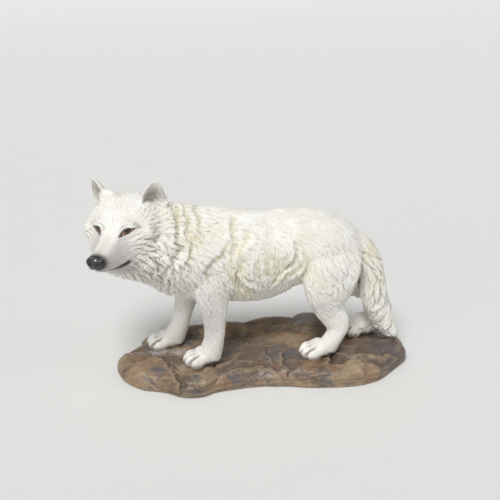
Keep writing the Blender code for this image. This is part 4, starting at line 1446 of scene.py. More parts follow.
@dataclass(frozen=True)
class WhitePaint:
    """Warm white paint, brushed dry over a darker wash and painted shade that stay in the hollows
    of the coat.
    """

    ivory: Row = rgb(233, 230, 221)
    bright: Row = rgb(247, 246, 240)
    # the wash, which also stands for painted shade in the hollows, and its deepest tone
    wash_and_shade: Row = rgb(168, 160, 146)
    deep_wash_and_shade: Row = rgb(124, 114, 97)
    ochre: Row = rgb(220, 211, 168)
    lilac: Row = rgb(190, 182, 183)
    tan: Row = rgb(228, 214, 200)
    dark: Row = rgb(34, 29, 30)
    roughness: float = 0.5
    # painted hairs: the scale and the shift of each layer's cells, and how fine the hairs are
    # along and across the coat
    hair_cells: tuple[Row, ...] = ((260, 0.0), (200, 3.7))
    hair_along: float = 220.0
    hair_across: float = 1300.0

    def build(self) -> bpy.types.Material:
        """Makes the material.

        Returns:
            The material.
        """
        paint = Shader("white_paint")
        place = paint.place()
        hollow, strand = paint.attribute("hollow"), paint.attribute("strand")
        broad = paint.noise(place, 60, 4)
        fine = paint.noise(place, 420, 3)
        streak = self.streaks(paint, place)
        colour = paint.mix(paint.step(broad, 0.35, 0.68), self.ivory, self.bright)
        stain = paint.attribute("ochre") * paint.step(fine, 0.2, 0.75)
        colour = paint.mix(stain, colour, self.ochre)
        colour = paint.mix(paint.attribute("cool") * 0.85, colour, self.lilac)
        colour = paint.mix(paint.attribute("tan"), colour, self.tan)
        # darker in the hollows and along painted hairs, as a wash with painted shade; lighter on
        # the crests, as brushed dry
        wash_and_shade_level = hollow * 0.9 - strand * 0.12 + (fine - 0.5) * 0.35 + (0.5 - streak) * 0.7
        colour = paint.mix(paint.step(wash_and_shade_level, 0.05, 1.0) * 0.7, colour, self.wash_and_shade)
        colour = paint.mix(paint.step(wash_and_shade_level, 1.0, 2.3) * 0.7, colour, self.deep_wash_and_shade)
        colour = paint.mix(paint.step(wash_and_shade_level * -1.0, 0.05, 0.5) * 0.6, colour, self.bright)
        dark = paint.attribute("dark")
        colour = paint.mix(dark, colour, self.dark)
        roughness = self.roughness - dark * 0.22 + (fine - 0.5) * 0.12
        paint.set(Base_Color=colour, Roughness=roughness, Specular_IOR_Level=0.35)
        paint.bump(streak * 0.7 + fine * 0.3, 0.0005, 0.9)
        return paint.material

    def streaks(self, paint: Shader, place: Wire) -> Wire:
        """Short fine hairs that follow the coat, in small cells of their own.

        Args:
            paint: The material.
            place: The place on it.

        Returns:
            About 0.5.
        """
        lie = paint.attribute("lie", "Vector")
        aside = paint.attribute("aside", "Vector")
        total = None
        for scale, shift in self.hair_cells:
            moved = paint.vector("ADD", place, (shift, 0.0, 0.0))
            cell = paint.node("ShaderNodeTexVoronoi", None, {"Vector": moved, "Scale": scale})
            local = paint.vector("SUBTRACT", moved, paint.wire(cell, "Position"))
            along = paint.vector("DOT_PRODUCT", local, lie, output="Value") * self.hair_along
            across = paint.vector("DOT_PRODUCT", local, aside, output="Value") * self.hair_across
            parts = paint.node("ShaderNodeCombineXYZ", None, {0: along, 1: across})
            seed = paint.vector("MULTIPLY", paint.wire(cell, "Color"), (17.0, 17.0, 17.0))
            hairs = paint.noise(paint.vector("ADD", paint.wire(parts), seed), 1.0, 2)
            total = hairs if total is None else (total + hairs) * 0.5
        return total


@dataclass(frozen=True)
class RockPaint:
    """Brown rock paint: tan and orange plates, slate-blue veins, dark cracks, painted shade in
    hollows and pale glints.
    """

    brown: Row = rgb(96, 79, 64)
    tan: Row = rgb(156, 136, 109)
    rust: Row = rgb(154, 116, 86)
    slate: Row = rgb(88, 86, 88)
    dark: Row = rgb(44, 35, 30)
    pale: Row = rgb(196, 190, 190)
    # how far the patterns are bent, and how the broad ones are stretched
    bend: Row = (0.03, 0.03, 0.03)
    stretch: Row = (0.55, 1.0, 1.4)

    def build(self) -> bpy.types.Material:
        """Makes the material.

        Returns:
            The material.
        """
        paint = Shader("rock_paint")
        place = paint.place()
        inputs = {"Vector": place, "Scale": 45.0, "Detail": 3.0}
        warp = paint.wire(paint.node("ShaderNodeTexNoise", None, inputs), "Color")
        bent = paint.vector("MULTIPLY_ADD", warp, self.bend, place)
        long = paint.vector("MULTIPLY", bent, self.stretch)
        broad = paint.noise(long, 38, 5, 0.6)
        patch = paint.noise(bent, 70, 5, 0.62)
        fine = paint.noise(place, 500, 4, 0.6)
        hollow = paint.attribute("hollow")
        colour = paint.mix(paint.step(broad, 0.40, 0.62), self.brown, self.tan)
        colour = paint.mix(paint.step(patch, 0.48, 0.64) * 0.6, colour, self.rust)
        slate = paint.step(paint.noise(long, 55, 6, 0.7), 0.51, 0.62)
        colour = paint.mix(slate * 0.85, colour, self.slate)
        slate = paint.attribute("slate") * paint.step(patch, 0.3, 0.6)
        colour = paint.mix(slate, colour, self.slate)
        inputs = {"Vector": bent, "Scale": 34.0}
        vein = paint.node("ShaderNodeTexVoronoi", {"feature": "DISTANCE_TO_EDGE"}, inputs)
        crack = 1.0 - paint.step(paint.wire(vein), 0.0, 0.05)
        # darker in cracks and hollows: dark paint with painted shade; tan on the crests
        wash_and_shade_level = hollow + (fine - 0.5) * 0.8 + crack * 0.5 * paint.step(broad, 0.4, 0.6)
        colour = paint.mix(paint.step(wash_and_shade_level, 0.35, 1.7) * 0.85, colour, self.dark)
        colour = paint.mix(paint.step(wash_and_shade_level * -1.0, 0.25, 0.8) * 0.5, colour, self.tan)
        colour = paint.mix(paint.attribute("pale") * paint.step(fine, 0.3, 0.6), colour, self.pale)
        roughness = 0.42 + (patch - 0.5) * 0.5
        paint.set(Base_Color=colour, Roughness=roughness, Specular_IOR_Level=0.5)
        paint.bump(fine * 0.6 + patch * 0.6 - crack * 0.5, 0.0006, 0.8)
        return paint.material


@dataclass(frozen=True)
class GlossPaint:
    """Glossy paint of the eyes and the nose, whose colours are stored on the mesh."""

    name: str
    roughness: float = 0.12
    # the mottling: how strong it is, and its colour
    mottle: float = 0.25
    haze: Row = (0.35, 0.3, 0.34, 1.0)

    def build(self) -> bpy.types.Material:
        """Makes the material.

        Returns:
            The material.
        """
        paint = Shader(self.name)
        fine = paint.noise(paint.place(), 900, 3)
        colour = paint.attribute("colour", "Color")
        shade = paint.mix((fine - 0.4) * self.mottle, colour, self.haze)
        paint.set(Base_Color=shade, Roughness=self.roughness + (fine - 0.5) * 0.1)
        paint.set(Coat_Weight=0.4, Coat_Roughness=0.08)
        paint.bump(fine, 0.00012, 0.5)
        return paint.material


def store(mesh: bpy.types.Mesh, name: str, values: np.ndarray) -> None:
    """Keeps one value or vector for each vertex on the mesh.

    Args:
        mesh: The mesh.
        name: The attribute's name, which materials read.
        values: One number, three numbers or four numbers for each vertex.
    """
    width = 1 if values.ndim == 1 else values.shape[1]
    kinds = {1: ("FLOAT", "value"), 3: ("FLOAT_VECTOR", "vector"), 4: ("FLOAT_COLOR", "color")}
    kind, key = kinds[width]
    made = mesh.attributes.new(name, kind, "POINT")
    made.data.foreach_set(key, np.ascontiguousarray(values, np.float32).ravel())


def dress(piece: bpy.types.Object, material: bpy.types.Material) -> bpy.types.Object:
    """Gives a piece its material and its place in the frame.

    Args:
        piece: The piece.
        material: Its material.

    Returns:
        The piece.
    """
    piece.data.materials.clear()
    piece.data.materials.append(material)
    piece.data.shade_smooth()
    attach(piece, BODY)
    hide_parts(NODE)
    log.info("%s: %d faces", piece.name, len(piece.data.polygons))
    return piece


@dataclass
class Wolf:
    """The whole animal as one surface, cut into pieces only where the mesh would be too big."""

    head: Head = field(default_factory=Head)
    masses: Masses = field(default_factory=Masses)
    paws: Paws = field(default_factory=Paws)
    coat: Coat = field(default_factory=Coat)
    coarse: float = 1.1
    fine: float = 0.58
    quick: float = 1.25
    coarse_rounds: int = 12
    fine_rounds: int = 4
    # the scatters of locks: their size and height to the guides', and how far the coat is sunk
    # under them, as a share of their height
    locks: tuple[Row, ...] = ((1.0, 1.45, 0.7), (0.45, 1.0, 0.15))
    # where there is no hair, as ellipsoids: the nose in the head's frame, and the far hind foot,
    # which is left plain
    nose: tuple[Row, Row] = ((29.5, 0, -13.8), (5.5, 8.2, 5.6))
    foot: tuple[Row, Row] = ((84, 26, GROUND + 12), (26, 17, 24))
    # the dark paint about the nose, and how high the painted shade reaches up from the soles
    smoke: tuple[Row, Row] = ((30.5, 0, -13.6), (6.2, 8.2, 5.8))
    sole_shade_reach: Row = (-7.0, -2.5)
    # hollows of the coat: the rounds of evening that show them, and the depth that counts as 1
    hollows: tuple[Row, ...] = ((6, 0.4), (40, 0.8))
    # how strongly the wash and painted shade show in folds and between toes, and painted shade
    # above the soles
    fold_wash_and_shade: float = 0.2
    toe_wash_and_shade: float = 1.3
    sole_shade_strength: float = 2.8
    # how strongly the wash and painted shade show in bare places, and how much more for each
    # millimetre of the locks
    bare_wash_and_shade: float = 0.72
    lock_wash_and_shade: float = 0.28
    # where the pieces meet, as x
    cuts: tuple[tuple[str, float], ...] = (
        ("wolf_head", -84.0), ("wolf_chest", -50.0), ("wolf_barrel", 0.0), ("wolf_haunch", 50.0),
        ("wolf_tail", 999.0),
    )
    # washes of paint, and spots of painted shade: x, height, reach along x, reach in height,
    # strength
    ochre: tuple[Row, ...] = (
        (-56, 112, 9, 9, 0.9), (-22, 80, 8, 16, 0.8), (-18, 62, 12, 8, 0.9), (0, 92, 9, 8, 0.6),
        (30, 84, 7, 14, 0.7), (24, 104, 10, 8, 0.35), (84, 84, 8, 12, 0.8), (88, 62, 7, 10, 0.5),
        (40, 70, 9, 8, 0.4), (-70, 125, 8, 8, 0.4), (-40, 115, 10, 6, 0.5), (52, 58, 9, 6, 0.4),
    )
    # lilac-grey paint; the spots near the ground are painted shade
    cool: tuple[Row, ...] = (
        (-46, 44, 12, 26, 0.85), (-62, 70, 14, 12, 0.5), (-44, 84, 9, 12, 0.35),
        (44, 46, 12, 10, 0.55), (-6, 70, 10, 9, 0.5), (-62, 34, 14, 24, 0.15),
        (56, 100, 16, 10, 0.22), (54, 76, 9, 8, 0.35), (60, 118, 18, 7, 0.1),
        (-100, 84, 12, 12, 0.25), (-56, 4, 20, 12, 0.5), (40, 4, 24, 12, 0.35),
    )
    # painted shade on the tail, the neck, the ruff and the legs
    painted_shade: tuple[Row, ...] = (
        (98, 62, 14, 34, 0.6), (-72, 108, 13, 22, 0.22), (-98, 92, 20, 20, 0.55),
        (-44, 40, 10, 26, 0.25), (108, 10, 10, 12, 0.05), (40, 46, 18, 14, 0.1),
        (94, 20, 16, 20, 0.1),
    )

    def build(self, paint: bpy.types.Material) -> list[bpy.types.Object]:
        """Sculpts the wolf.

        Args:
            paint: The coat's material.

        Returns:
            Its pieces.
        """
        body = self.masses.build(self.head.frame) + self.head.build()
        smooth = Surface(fuse(body, self.coarse))
        smooth.relax(self.coarse_rounds)
        whole = [link("coat", smooth.mesh)] + [self.head.ear_shell(side) for side in Side]
        whole += self.paws.build(self.masses.legs)
        voxel = self.fine * 1.0
        surface = Surface(fuse(whole, voxel))
        surface.relax(self.fine_rounds)
        log.info("surface of %d points", surface.count)
        return self.carve(surface, paint)

    def carve(self, surface: Surface, paint: bpy.types.Material) -> list[bpy.types.Object]:
        """Carves the coat and the face, and cuts the surface into pieces.

        Args:
            surface: The smooth wolf.
            paint: The coat's material.

        Returns:
            The pieces.
        """
        frame = self.head.frame
        valley = self.coat.fold(surface)
        marks = self.head.carve(surface)
        toes = self.paws.gaps(surface.points, self.masses.legs)
        surface.swell(-self.paws.toe_gap * toes)
        way, length, height = self.coat.comb(surface.points, surface.normals, frame)
        bare = np.maximum(marks["rim"], marks["lips"])
        bare = np.maximum(bare, self.bare(surface.points))
        lift = np.zeros(surface.count)
        for number, (scale, tall, sunk) in enumerate(self.locks):
            locks = self.coat.locks(surface, frame, scale, self.coat.seed + number)
            lift += tall * locks - sunk * height
        surface.swell(lift * (1 - bare))
        strand = self.coat.strands(surface, way, 8)
        fine = strand * self.coat.strand_height * (1 - 0.85 * bare)
        surface.swell(fine * np.clip(0.3 + height, 0.3, 1))
        surface.relax(1)
        values = self.paint_values(surface, marks, toes, valley)
        # the wash and painted shade in the hollows grow with the locks' height
        wash_and_shade = self.bare_wash_and_shade + self.lock_wash_and_shade * height
        values["hollow"] = np.clip(values["hollow"] * wash_and_shade, -1, 2.2)
        values["strand"] = strand
        way, _, _ = self.coat.comb(surface.points, surface.normals, frame)
        values["lie"] = way
        values["aside"] = np.cross(surface.normals, way)
        return self.cut(surface, values, paint)

    def bare(self, points: np.ndarray) -> np.ndarray:
        """Where there is no hair, from 0 to 1.

        Args:
            points: The surface's places.

        Returns:
            One value for each vertex.
        """
        nose = away_from(self.head.frame.into(points), *self.nose)
        foot = away_from(points, *self.foot)
        return np.maximum(1 - ramp(nose, 0.8, 1.2), 1 - ramp(foot, 0.85, 1.1))

    def paint_values(
        self, surface: Surface, marks: dict[str, np.ndarray], toes: np.ndarray, valley: np.ndarray
    ) -> dict[str, np.ndarray]:
        """Works out where each paint lies, and where painted shade lies.

        Args:
            surface: The carved wolf.
            marks: How near each vertex is to the rims of the eyes, the mouth and the creases.
            toes: How near each vertex is to a gap between toes.
            valley: How near each vertex is to the bottom of a fold.

        Returns:
            Named values for each vertex.
        """
        points = surface.points
        local = self.head.frame.into(points)
        seen = points[:, (0, 2)] - (0, GROUND)
        on_head = ramp(local[:, 0], -30, -14)
        # the wash and painted shade in the hollows, with more in creases, fold valleys, spots of
        # painted shade, between the toes and near the ground
        hollow = surface.hollows(self.hollows)
        # the feet darken towards the ground: painted shade
        low = ramp(-seen[:, 1], *self.sole_shade_reach)
        ochre, cool, painted_shade = (spots(seen, rows) for rows in (self.ochre, self.cool, self.painted_shade))
        hollow = np.clip(hollow, -1.2, 4) * 0.55 * (1 - 0.5 * valley) + marks["crease"] * 0.5
        hollow += self.fold_wash_and_shade * valley + painted_shade + toes * self.toe_wash_and_shade + self.sole_shade_strength * low
        ochre = np.maximum(1.2 * ochre, 0.9 * valley) * (1 - on_head)
        side = np.abs(local[:, 1])
        muzzle = on_head * ramp(local[:, 0], -6, 8) * ramp(side, 3.5, 8.5)
        chin = on_head * ramp(-local[:, 2], 20, 25) * ramp(local[:, 0], -6, 2)
        cool = np.maximum(cool * (1 - on_head), 0.8 * np.maximum(muzzle, chin))
        bridge = on_head * ramp(local[:, 0], 2, 10) * (1 - ramp(side, 0.5, 5.0))
        bridge *= ramp(-local[:, 2], -3, 3)
        nose = away_from(local, *self.smoke)
        smoke = 0.75 * (1 - ramp(nose, 0.7, 1.5)) + 0.25 * (1 - ramp(nose, 1.0, 2.6))
        # the inside of each ear: grey paint, and painted shade deepest in its cup
        cup = self.ear_cup(local, surface.normals @ self.head.frame.axes.T)
        cool = np.maximum(cool, cup)
        hollow = np.clip(hollow + 0.9 * cup, -1, 2)
        # lilac-grey between the toes and near the ground: painted shade, between the toes partly
        # paint
        cool = np.maximum(cool, 0.9 * np.maximum(toes, low))
        # dark paint on lids, lips and about the nose; deep in the ears and between the toes, partly
        # painted shade
        darks = (marks["rim"], marks["lips"] * 0.85, smoke, 0.3 * cup ** 2, 0.25 * toes)
        dark = np.maximum.reduce(darks)
        tan = np.maximum(bridge * 0.6, marks["white"])
        return {"hollow": hollow, "ochre": ochre, "cool": cool, "tan": tan, "dark": dark}

    def ear_cup(self, local: np.ndarray, facing: np.ndarray) -> np.ndarray:
        """How far inside an ear's cup each vertex lies, from 0 to 1, in the head's frame.

        Args:
            local: Places in the head's frame.
            facing: Directions out of the surface, in the head's frame.

        Returns:
            One value for each vertex.
        """
        side = np.sign(local[:, 1])
        angle = math.radians(self.head.ear_facing)
        open_way = facing[:, 0] * math.cos(angle) + facing[:, 1] * side * math.sin(angle)
        forward, left = self.head.ear_middle
        middle = np.column_stack([0 * side + forward, left * side])
        away = np.linalg.norm(local[:, :2] - middle, axis=1)
        inner = ramp(open_way, 0.1, 0.9) * (1 - ramp(away, 6, 11))
        return 0.85 * inner * ramp(local[:, 2], 13, 19) * (1 - ramp(local[:, 2], 21, 31))

    def cut(
        self, surface: Surface, values: dict[str, np.ndarray], paint: bpy.types.Material
    ) -> list[bpy.types.Object]:
        """Cuts the surface into closed pieces that keep the whole surface's normals.

        Args:
            surface: The carved wolf.
            values: What the materials read, for each vertex.
            paint: The coat's material.

        Returns:
            The pieces.
        """
        points, normals = surface.points, surface.normals
        loops = np.empty(len(surface.mesh.loops), np.int64)
        surface.mesh.loops.foreach_get("vertex_index", loops)
        totals = np.empty(len(surface.mesh.polygons), np.int64)
        surface.mesh.polygons.foreach_get("loop_total", totals)
        middle = np.add.reduceat(points[loops, 0], run_starts(totals)) / totals
        label = np.searchsorted([x for _, x in self.cuts], middle)
        pieces = []
        for number, (name, _) in enumerate(self.cuts):
            chosen = np.flatnonzero(label == number)
            if not len(chosen):
                continue
            picked = np.repeat(label == number, totals)
            used, corner = np.unique(loops[picked], return_inverse=True)
            mesh = bpy.data.meshes.new(name)
            mesh.vertices.add(len(used))
            mesh.vertices.foreach_set("co", (points[used] * MM).ravel())
            mesh.loops.add(len(corner))
            mesh.loops.foreach_set("vertex_index", corner.astype(np.int32))
            mesh.polygons.add(len(chosen))
            starts = run_starts(totals[chosen]).astype(np.int32)
            mesh.polygons.foreach_set("loop_start", starts)
            mesh.update(calc_edges=True)
            mesh.validate()
            for key, value in values.items():
                store(mesh, key, value[used])
            self.close(mesh)
            mesh.normals_split_custom_set_from_vertices(normals[used].tolist())
            pieces.append(dress(link(name, mesh), paint))
        bpy.data.meshes.remove(surface.mesh)
        return pieces

    @staticmethod
    def close(mesh: bpy.types.Mesh) -> None:
        """Closes the open ends of a piece, which lie inside the wolf.

        Args:
            mesh: The piece's mesh.
        """
        shape = bmesh.new()
        shape.from_mesh(mesh)
        rim = [edge for edge in shape.edges if edge.is_boundary]
        if rim:
            caps = bmesh.ops.holes_fill(shape, edges=rim, sides=0)["faces"]
            bmesh.ops.triangulate(shape, faces=caps)
        shape.to_mesh(mesh)
        shape.free()


@dataclass
class Eyes:
    """The glossy eyeballs."""

    head: Head
    amber: Row = rgb(138, 84, 58)
    # the iris's darker top: painted shadow of the upper lid
    rust: Row = rgb(58, 34, 26)
    pupil: Row = rgb(10, 8, 9)
    pink: Row = rgb(206, 178, 164)
    iris_radius: float = 2.9
    pupil_radius: float = 1.4
    # the ball's radii outwards, left and up, and how far its front stands before the eye's middle
    radii: Row = (3.2, 7.4, 5.2)
    proud: float = 0.1
    # where the iris sits on the ball: left and up
    gaze: Row = (0.2, 0.5)
    # how far the iris stands out, and how far the ball falls back behind the lids
    cornea: float = 0.3
    tuck: float = 3.0
    # the dark ring about the iris: its width and strength
    ring_width: float = 0.35
    ring_strength: float = 0.8

    def build(self, paint: bpy.types.Material) -> list[bpy.types.Object]:
        """Makes both eyes.

        Args:
            paint: The eyes' material.

        Returns:
            The two pieces.
        """
        made = []
        for side in Side:
            middle, axes = self.head.eye_axes(side)
            centre = middle - axes[0] * (self.radii[0] - self.proud)
            shape = bmesh.new()
            bmesh.ops.create_uvsphere(shape, u_segments=72, v_segments=48, radius=1.0)
            mesh = bpy.data.meshes.new("eye")
            shape.to_mesh(mesh)
            shape.free()
            points = np.array([v.co for v in mesh.vertices])[:, (2, 0, 1)] * self.radii
            away = np.linalg.norm(points[:, 1:] - np.array(self.gaze) * (side.value, 1), axis=1)
            away = np.where(points[:, 0] > 0, away, 9.0)
            rise = 1 - ramp(away, self.iris_radius * 0.6, self.iris_radius * 1.2)
            points[:, 0] += self.cornea * rise
            placed = centre + points @ axes
            gap = self.head.rim_gap(placed[:, 1:] * (side.value, 1))
            placed -= np.outer(self.tuck * ramp(gap, -0.2, 1.6), axes[0])
            mesh.vertices.foreach_set("co", (self.head.frame.out(placed) * MM).ravel())
            colour = np.tile(np.array(self.pink), (len(points), 1))
            iris = 1 - ramp(away, self.iris_radius - 0.3, self.iris_radius + 0.3)
            # the iris darkens towards its top: painted shadow of the upper lid
            amber = between(self.amber, self.rust, ramp(points[:, 2], -0.2, 1.8))
            colour = between(colour, amber, iris)
            ring = bell(away - self.iris_radius, self.ring_width) * self.ring_strength
            pupil = 1 - ramp(away, self.pupil_radius - 0.2, self.pupil_radius + 0.3)
            colour = between(colour, self.pupil, np.maximum(pupil, ring))
            store(mesh, "colour", colour)
            name = f"eye_{side.name.lower()}"
            made.append(dress(link(name, mesh), paint))
        return made


@dataclass
class Nose:
    """The nose pad with its nostrils."""

    head: Head
    middle: Row = (29.6, 0.0, -13.8)
    # its masses: forward, left and up from the middle, then the radii; the wings are a pair
    core: Row = (0.0, 0.0, 0.0, 3.4, 6.9, 4.1)
    wing: Row = (-0.2, 3.9, 0.2, 3.4, 3.4, 3.4)
    top: Row = (0.4, 0.0, 1.5, 3.2, 4.4, 2.6)
    nostril: Course = (
        (32.6, 2.4, -14.6), (32.4, 3.8, -13.4), (31.2, 5.2, -13.6), (30.0, 6.6, -14.9),
    )
    # how deep and how wide the nostrils and the groove below the nose are
    nostril_cut: Row = (1.1, 0.95)
    groove_cut: Row = (0.55, 0.5)
    groove: Course = ((33.6, 0, -13.0), (33.4, 0, -16.0), (31.8, 0, -18.8))
    colour: Row = rgb(30, 25, 29)
    # the nose pad's lighter top: a painted highlight
    painted_highlight: Row = rgb(92, 86, 92)

    def mass(self, row: Row, side: int = 0) -> bpy.types.Object:
        """One of the nose's masses, on a side where it is a pair.

        Args:
            row: The mass.
            side: Which side, or 0.

        Returns:
            The mass as an ellipsoid.
        """
        forward, left, up, *radii = row
        place = (self.middle[0] + forward, side * left, self.middle[2] + up)
        return ball(self.head.frame.out([place])[0], radii, self.head.frame.turn())

    def build(self, paint: bpy.types.Material) -> bpy.types.Object:
        """Makes the nose.

        Args:
            paint: The nose's material.

        Returns:
            The piece.
        """
        masses = [self.mass(self.core)] + [self.mass(self.wing, side.value) for side in Side]
        masses.append(self.mass(self.top))
        surface = Surface(fuse(masses, 0.25))
        surface.relax(5)
        local = self.head.frame.into(surface.points)
        amounts = np.zeros(surface.count)
        holes = np.zeros(surface.count)
        depth, width = self.nostril_cut
        for side in Side:
            best = along_course(local * (1, side.value, 1), self.nostril)[0]
            holes = np.maximum(holes, bell(best, width))
        amounts -= depth * holes
        depth, width = self.groove_cut
        amounts -= depth * bell(along_course(local, self.groove)[0], width)
        amounts += 0.05 * ripple(local, 1.3, 8)
        surface.swell(amounts)
        surface.relax(1)
        # the top of the pad is lighter: a painted highlight
        upper = ramp(local[:, 2] - self.middle[2], 0.5, 4.5) * 0.5
        colour = between(self.colour, self.painted_highlight, upper) * (1 - 0.8 * holes[:, None])
        colour[:, 3] = 1
        store(surface.mesh, "colour", colour)
        return dress(link("nose", surface.mesh), paint)


@dataclass
class Rock:
    """The slab of rock that the wolf stands on."""

    outline: Course = (
        (-118, 9), (-116, -4.5), (-110, -17), (-100, -26.5), (-89, -31), (-80, -35), (-71, -41.5),
        (-62, -44), (-52.5, -43), (-43, -39), (-24, -36), (-5, -35.5), (14, -38), (32, -42),
        (51, -44.5), (70, -44.5), (81, -41.5), (92, -35.5), (105, -23.5), (116, -12), (118.5, 1),
        (117, 13), (105, 24), (84, 33), (56, 38), (24, 39.5), (-8, 39), (-40, 38), (-70, 36),
        (-96, 29), (-110, 20),
    )
    bank: float = 6.5
    # how the bank rises: shares of the ground's height and of the bank's width
    profile: tuple[Row, ...] = (
        (0.0, 0.25), (0.02, 0.04), (0.08, 0.0), (0.3, 0.0), (0.62, 0.18), (0.92, 1.0), (1.0, 2.2),
    )
    # middle x, y, height of the middle above the ground, then the radii
    rocks: tuple[Row, ...] = (
        (-30, 33, -1, 42, 8, 10), (12, 34, -1, 34, 8, 11), (43, 32, 0, 17, 9, 14),
        (66, 31, -4, 18, 9, 9), (-72, 30, -5, 26, 10, 8),
    )
    # how far the ground rises on the course's left, how wide, and the course as x and y
    seams: tuple[tuple[float, float, Course], ...] = (
        (-1.2, 2.6, ((14, -13), (14, -29), (17, -38), (26, -44), (40, -50))),
        (-1.6, 2.2, ((51, -20), (50, -33), (63, -31), (74, -31), (86, -36), (90, -46))),
        (-1.5, 2.0, ((60, -15), (70, -20), (81, -21), (89, -23), (97, -20), (108, -20))),
        (-1.2, 2.0, ((74, -31), (75, -42), (71, -52))),
        (-0.9, 2.6, ((1, -7), (4, -28), (10, -39), (14, -50))),
        (-1.8, 2.2, ((-81, -12), (-72, -32), (-71, -46))),
        (-1.3, 2.2, ((-65, -30), (-55, -30), (-42, -21), (-27, -13), (-15, -18))),
        (-1.3, 2.2, ((-107, 9), (-96, 5), (-81, -9), (-73, -20))),
        (-1.6, 2.4, ((-96, -28), (-89, -33), (-83, -37))),
        (-1.0, 1.8, ((-40, -36), (-28, -27), (-10, -25), (2, -30))),
        (-0.9, 1.8, ((20, -20), (34, -24), (48, -22))),
        (-0.9, 1.8, ((-20, 20), (-6, 8), (12, 6), (30, 12))),
        (-0.9, 1.8, ((62, 4), (78, 6), (96, 0), (112, 4))),
        (-0.9, 1.8, ((-100, -6), (-88, -2), (-70, -4))),
    )
    # x, y, how far it reaches, how high it rises
    swells: tuple[Row, ...] = (
        (-88, -16, 18, 2.2), (-52, -32, 16, 1.6), (-10, -20, 20, 1.8), (30, -26, 18, 1.8),
        (78, -30, 20, 1.6), (96, -8, 18, 2.0), (20, 14, 26, 2.2), (-70, 20, 26, 2.0),
    )
    # x, y, reach along x, reach along y, strength
    slate: tuple[Row, ...] = (
        (6, -6, 9, 17, 1.0), (-62, -10, 18, 10, 0.7), (30, -8, 16, 8, 0.6), (72, -18, 18, 8, 0.6),
        (98, -14, 24, 20, 0.9), (-30, -20, 12, 8, 0.5), (-20, 14, 20, 8, 0.5),
    )
    pale: tuple[Row, ...] = (
        (-84, 7, 10, 4, 0.95), (-68, 5, 9, 4, 0.85), (-56, -18, 9, 4, 0.5), (-38, -9, 6, 3, 0.5),
        (43, 32, 14, 9, 0.45), (-8, -36, 36, 8, 0.1),
    )
    # hollows of the rock: the rounds of evening that show them, and the depth that counts as 1
    hollows: tuple[Row, ...] = ((8, 0.5), (40, 1.6))
    voxel: float = 0.85
    quick: float = 1.5
    # height, wavelength and seed of the ripples that bend the seams and that make the grain
    waves: tuple[Row, ...] = ((1.6, 14, 21), (0.7, 6, 22))
    grain: tuple[Row, ...] = ((0.8, 22, 24), (0.30, 9, 25), (0.12, 4, 26), (0.06, 2.2, 27))
    # shares of the seams' height that are groove, of the plates and of the grain, and how far a
    # seam reaches to the side
    groove_share: float = 0.45
    plate_height: float = 0.35
    grain_height: float = 0.7
    seam_reach: float = 9.0

    def build(self, paint: bpy.types.Material) -> bpy.types.Object:
        """Makes the rock.

        Args:
            paint: The rock's material.

        Returns:
            The piece.
        """
        outline = np.asarray(self.outline, float)
        count = len(outline)
        margin, steps = 3, 5
        around = np.concatenate([outline[-margin:], outline, outline[:margin]])
        outline = smooth_rows(around, steps)[margin * steps : (margin + count) * steps]
        away = unit(outline - outline.mean(0))
        rings = []
        for rise, inset in self.profile:
            height = np.full(len(outline), rise * GROUND)
            rings.append(np.column_stack([outline - away * inset * self.bank, height]))
        masses = [tube("slab", rings)]
        for x, y, height, *radii in self.rocks:
            masses.append(ball((x, y, GROUND + height), radii))
        surface = Surface(fuse(masses, self.voxel * (1.0)))
        surface.relax(3)
        self.relief(surface)
        flat = surface.points[:, :2]
        # darker in the rock's hollows: dark paint with painted shade
        hollow = np.clip(surface.hollows(self.hollows), -1, 2)
        store(surface.mesh, "hollow", hollow)
        for name, rows in (("slate", self.slate), ("pale", self.pale)):
            store(surface.mesh, name, spots(flat, rows))
        return dress(link("rock_base", surface.mesh), paint)

    def relief(self, surface: Surface) -> None:
        """Carves seams, plates and grain, and keeps the underside flat.

        Args:
            surface: The rock's surface.
        """
        points, normals = surface.points, surface.normals
        flat = points[:, :2]
        moved = np.zeros(surface.count)
        wave = ripples(points, self.waves)
        for height, width, course in self.seams:
            best, signed, share = along_course(flat, course)
            signed = signed + wave * ramp(np.minimum(share, 1 - share), -0.1, 0.2)
            groove = self.groove_share * bell(signed, 0.45 * width)
            step = np.tanh(signed) * bell(signed, 3 * width)
            moved += height * (groove + step) * bell(best, self.seam_reach, 4)
        for x, y, reach, height in self.swells:
            moved += height * np.exp(-(((flat - (x, y)) / reach) ** 2).sum(1))
        upward = np.clip(normals[:, 2] * 2, 0, 1)
        layers = np.sin(points[:, 2] * 1.7 + 2.0 * ripple(points, 30, 23)) * (1 - upward)
        grain = ripples(points, self.grain)
        above = ramp(points[:, 2], 0.3, 2.5)
        carved = moved * upward + self.plate_height * layers + self.grain_height * grain
        surface.swell(carved * above)
        placed = surface.points
        placed[:, 2] = np.maximum(placed[:, 2], 0)
        surface.points = placed


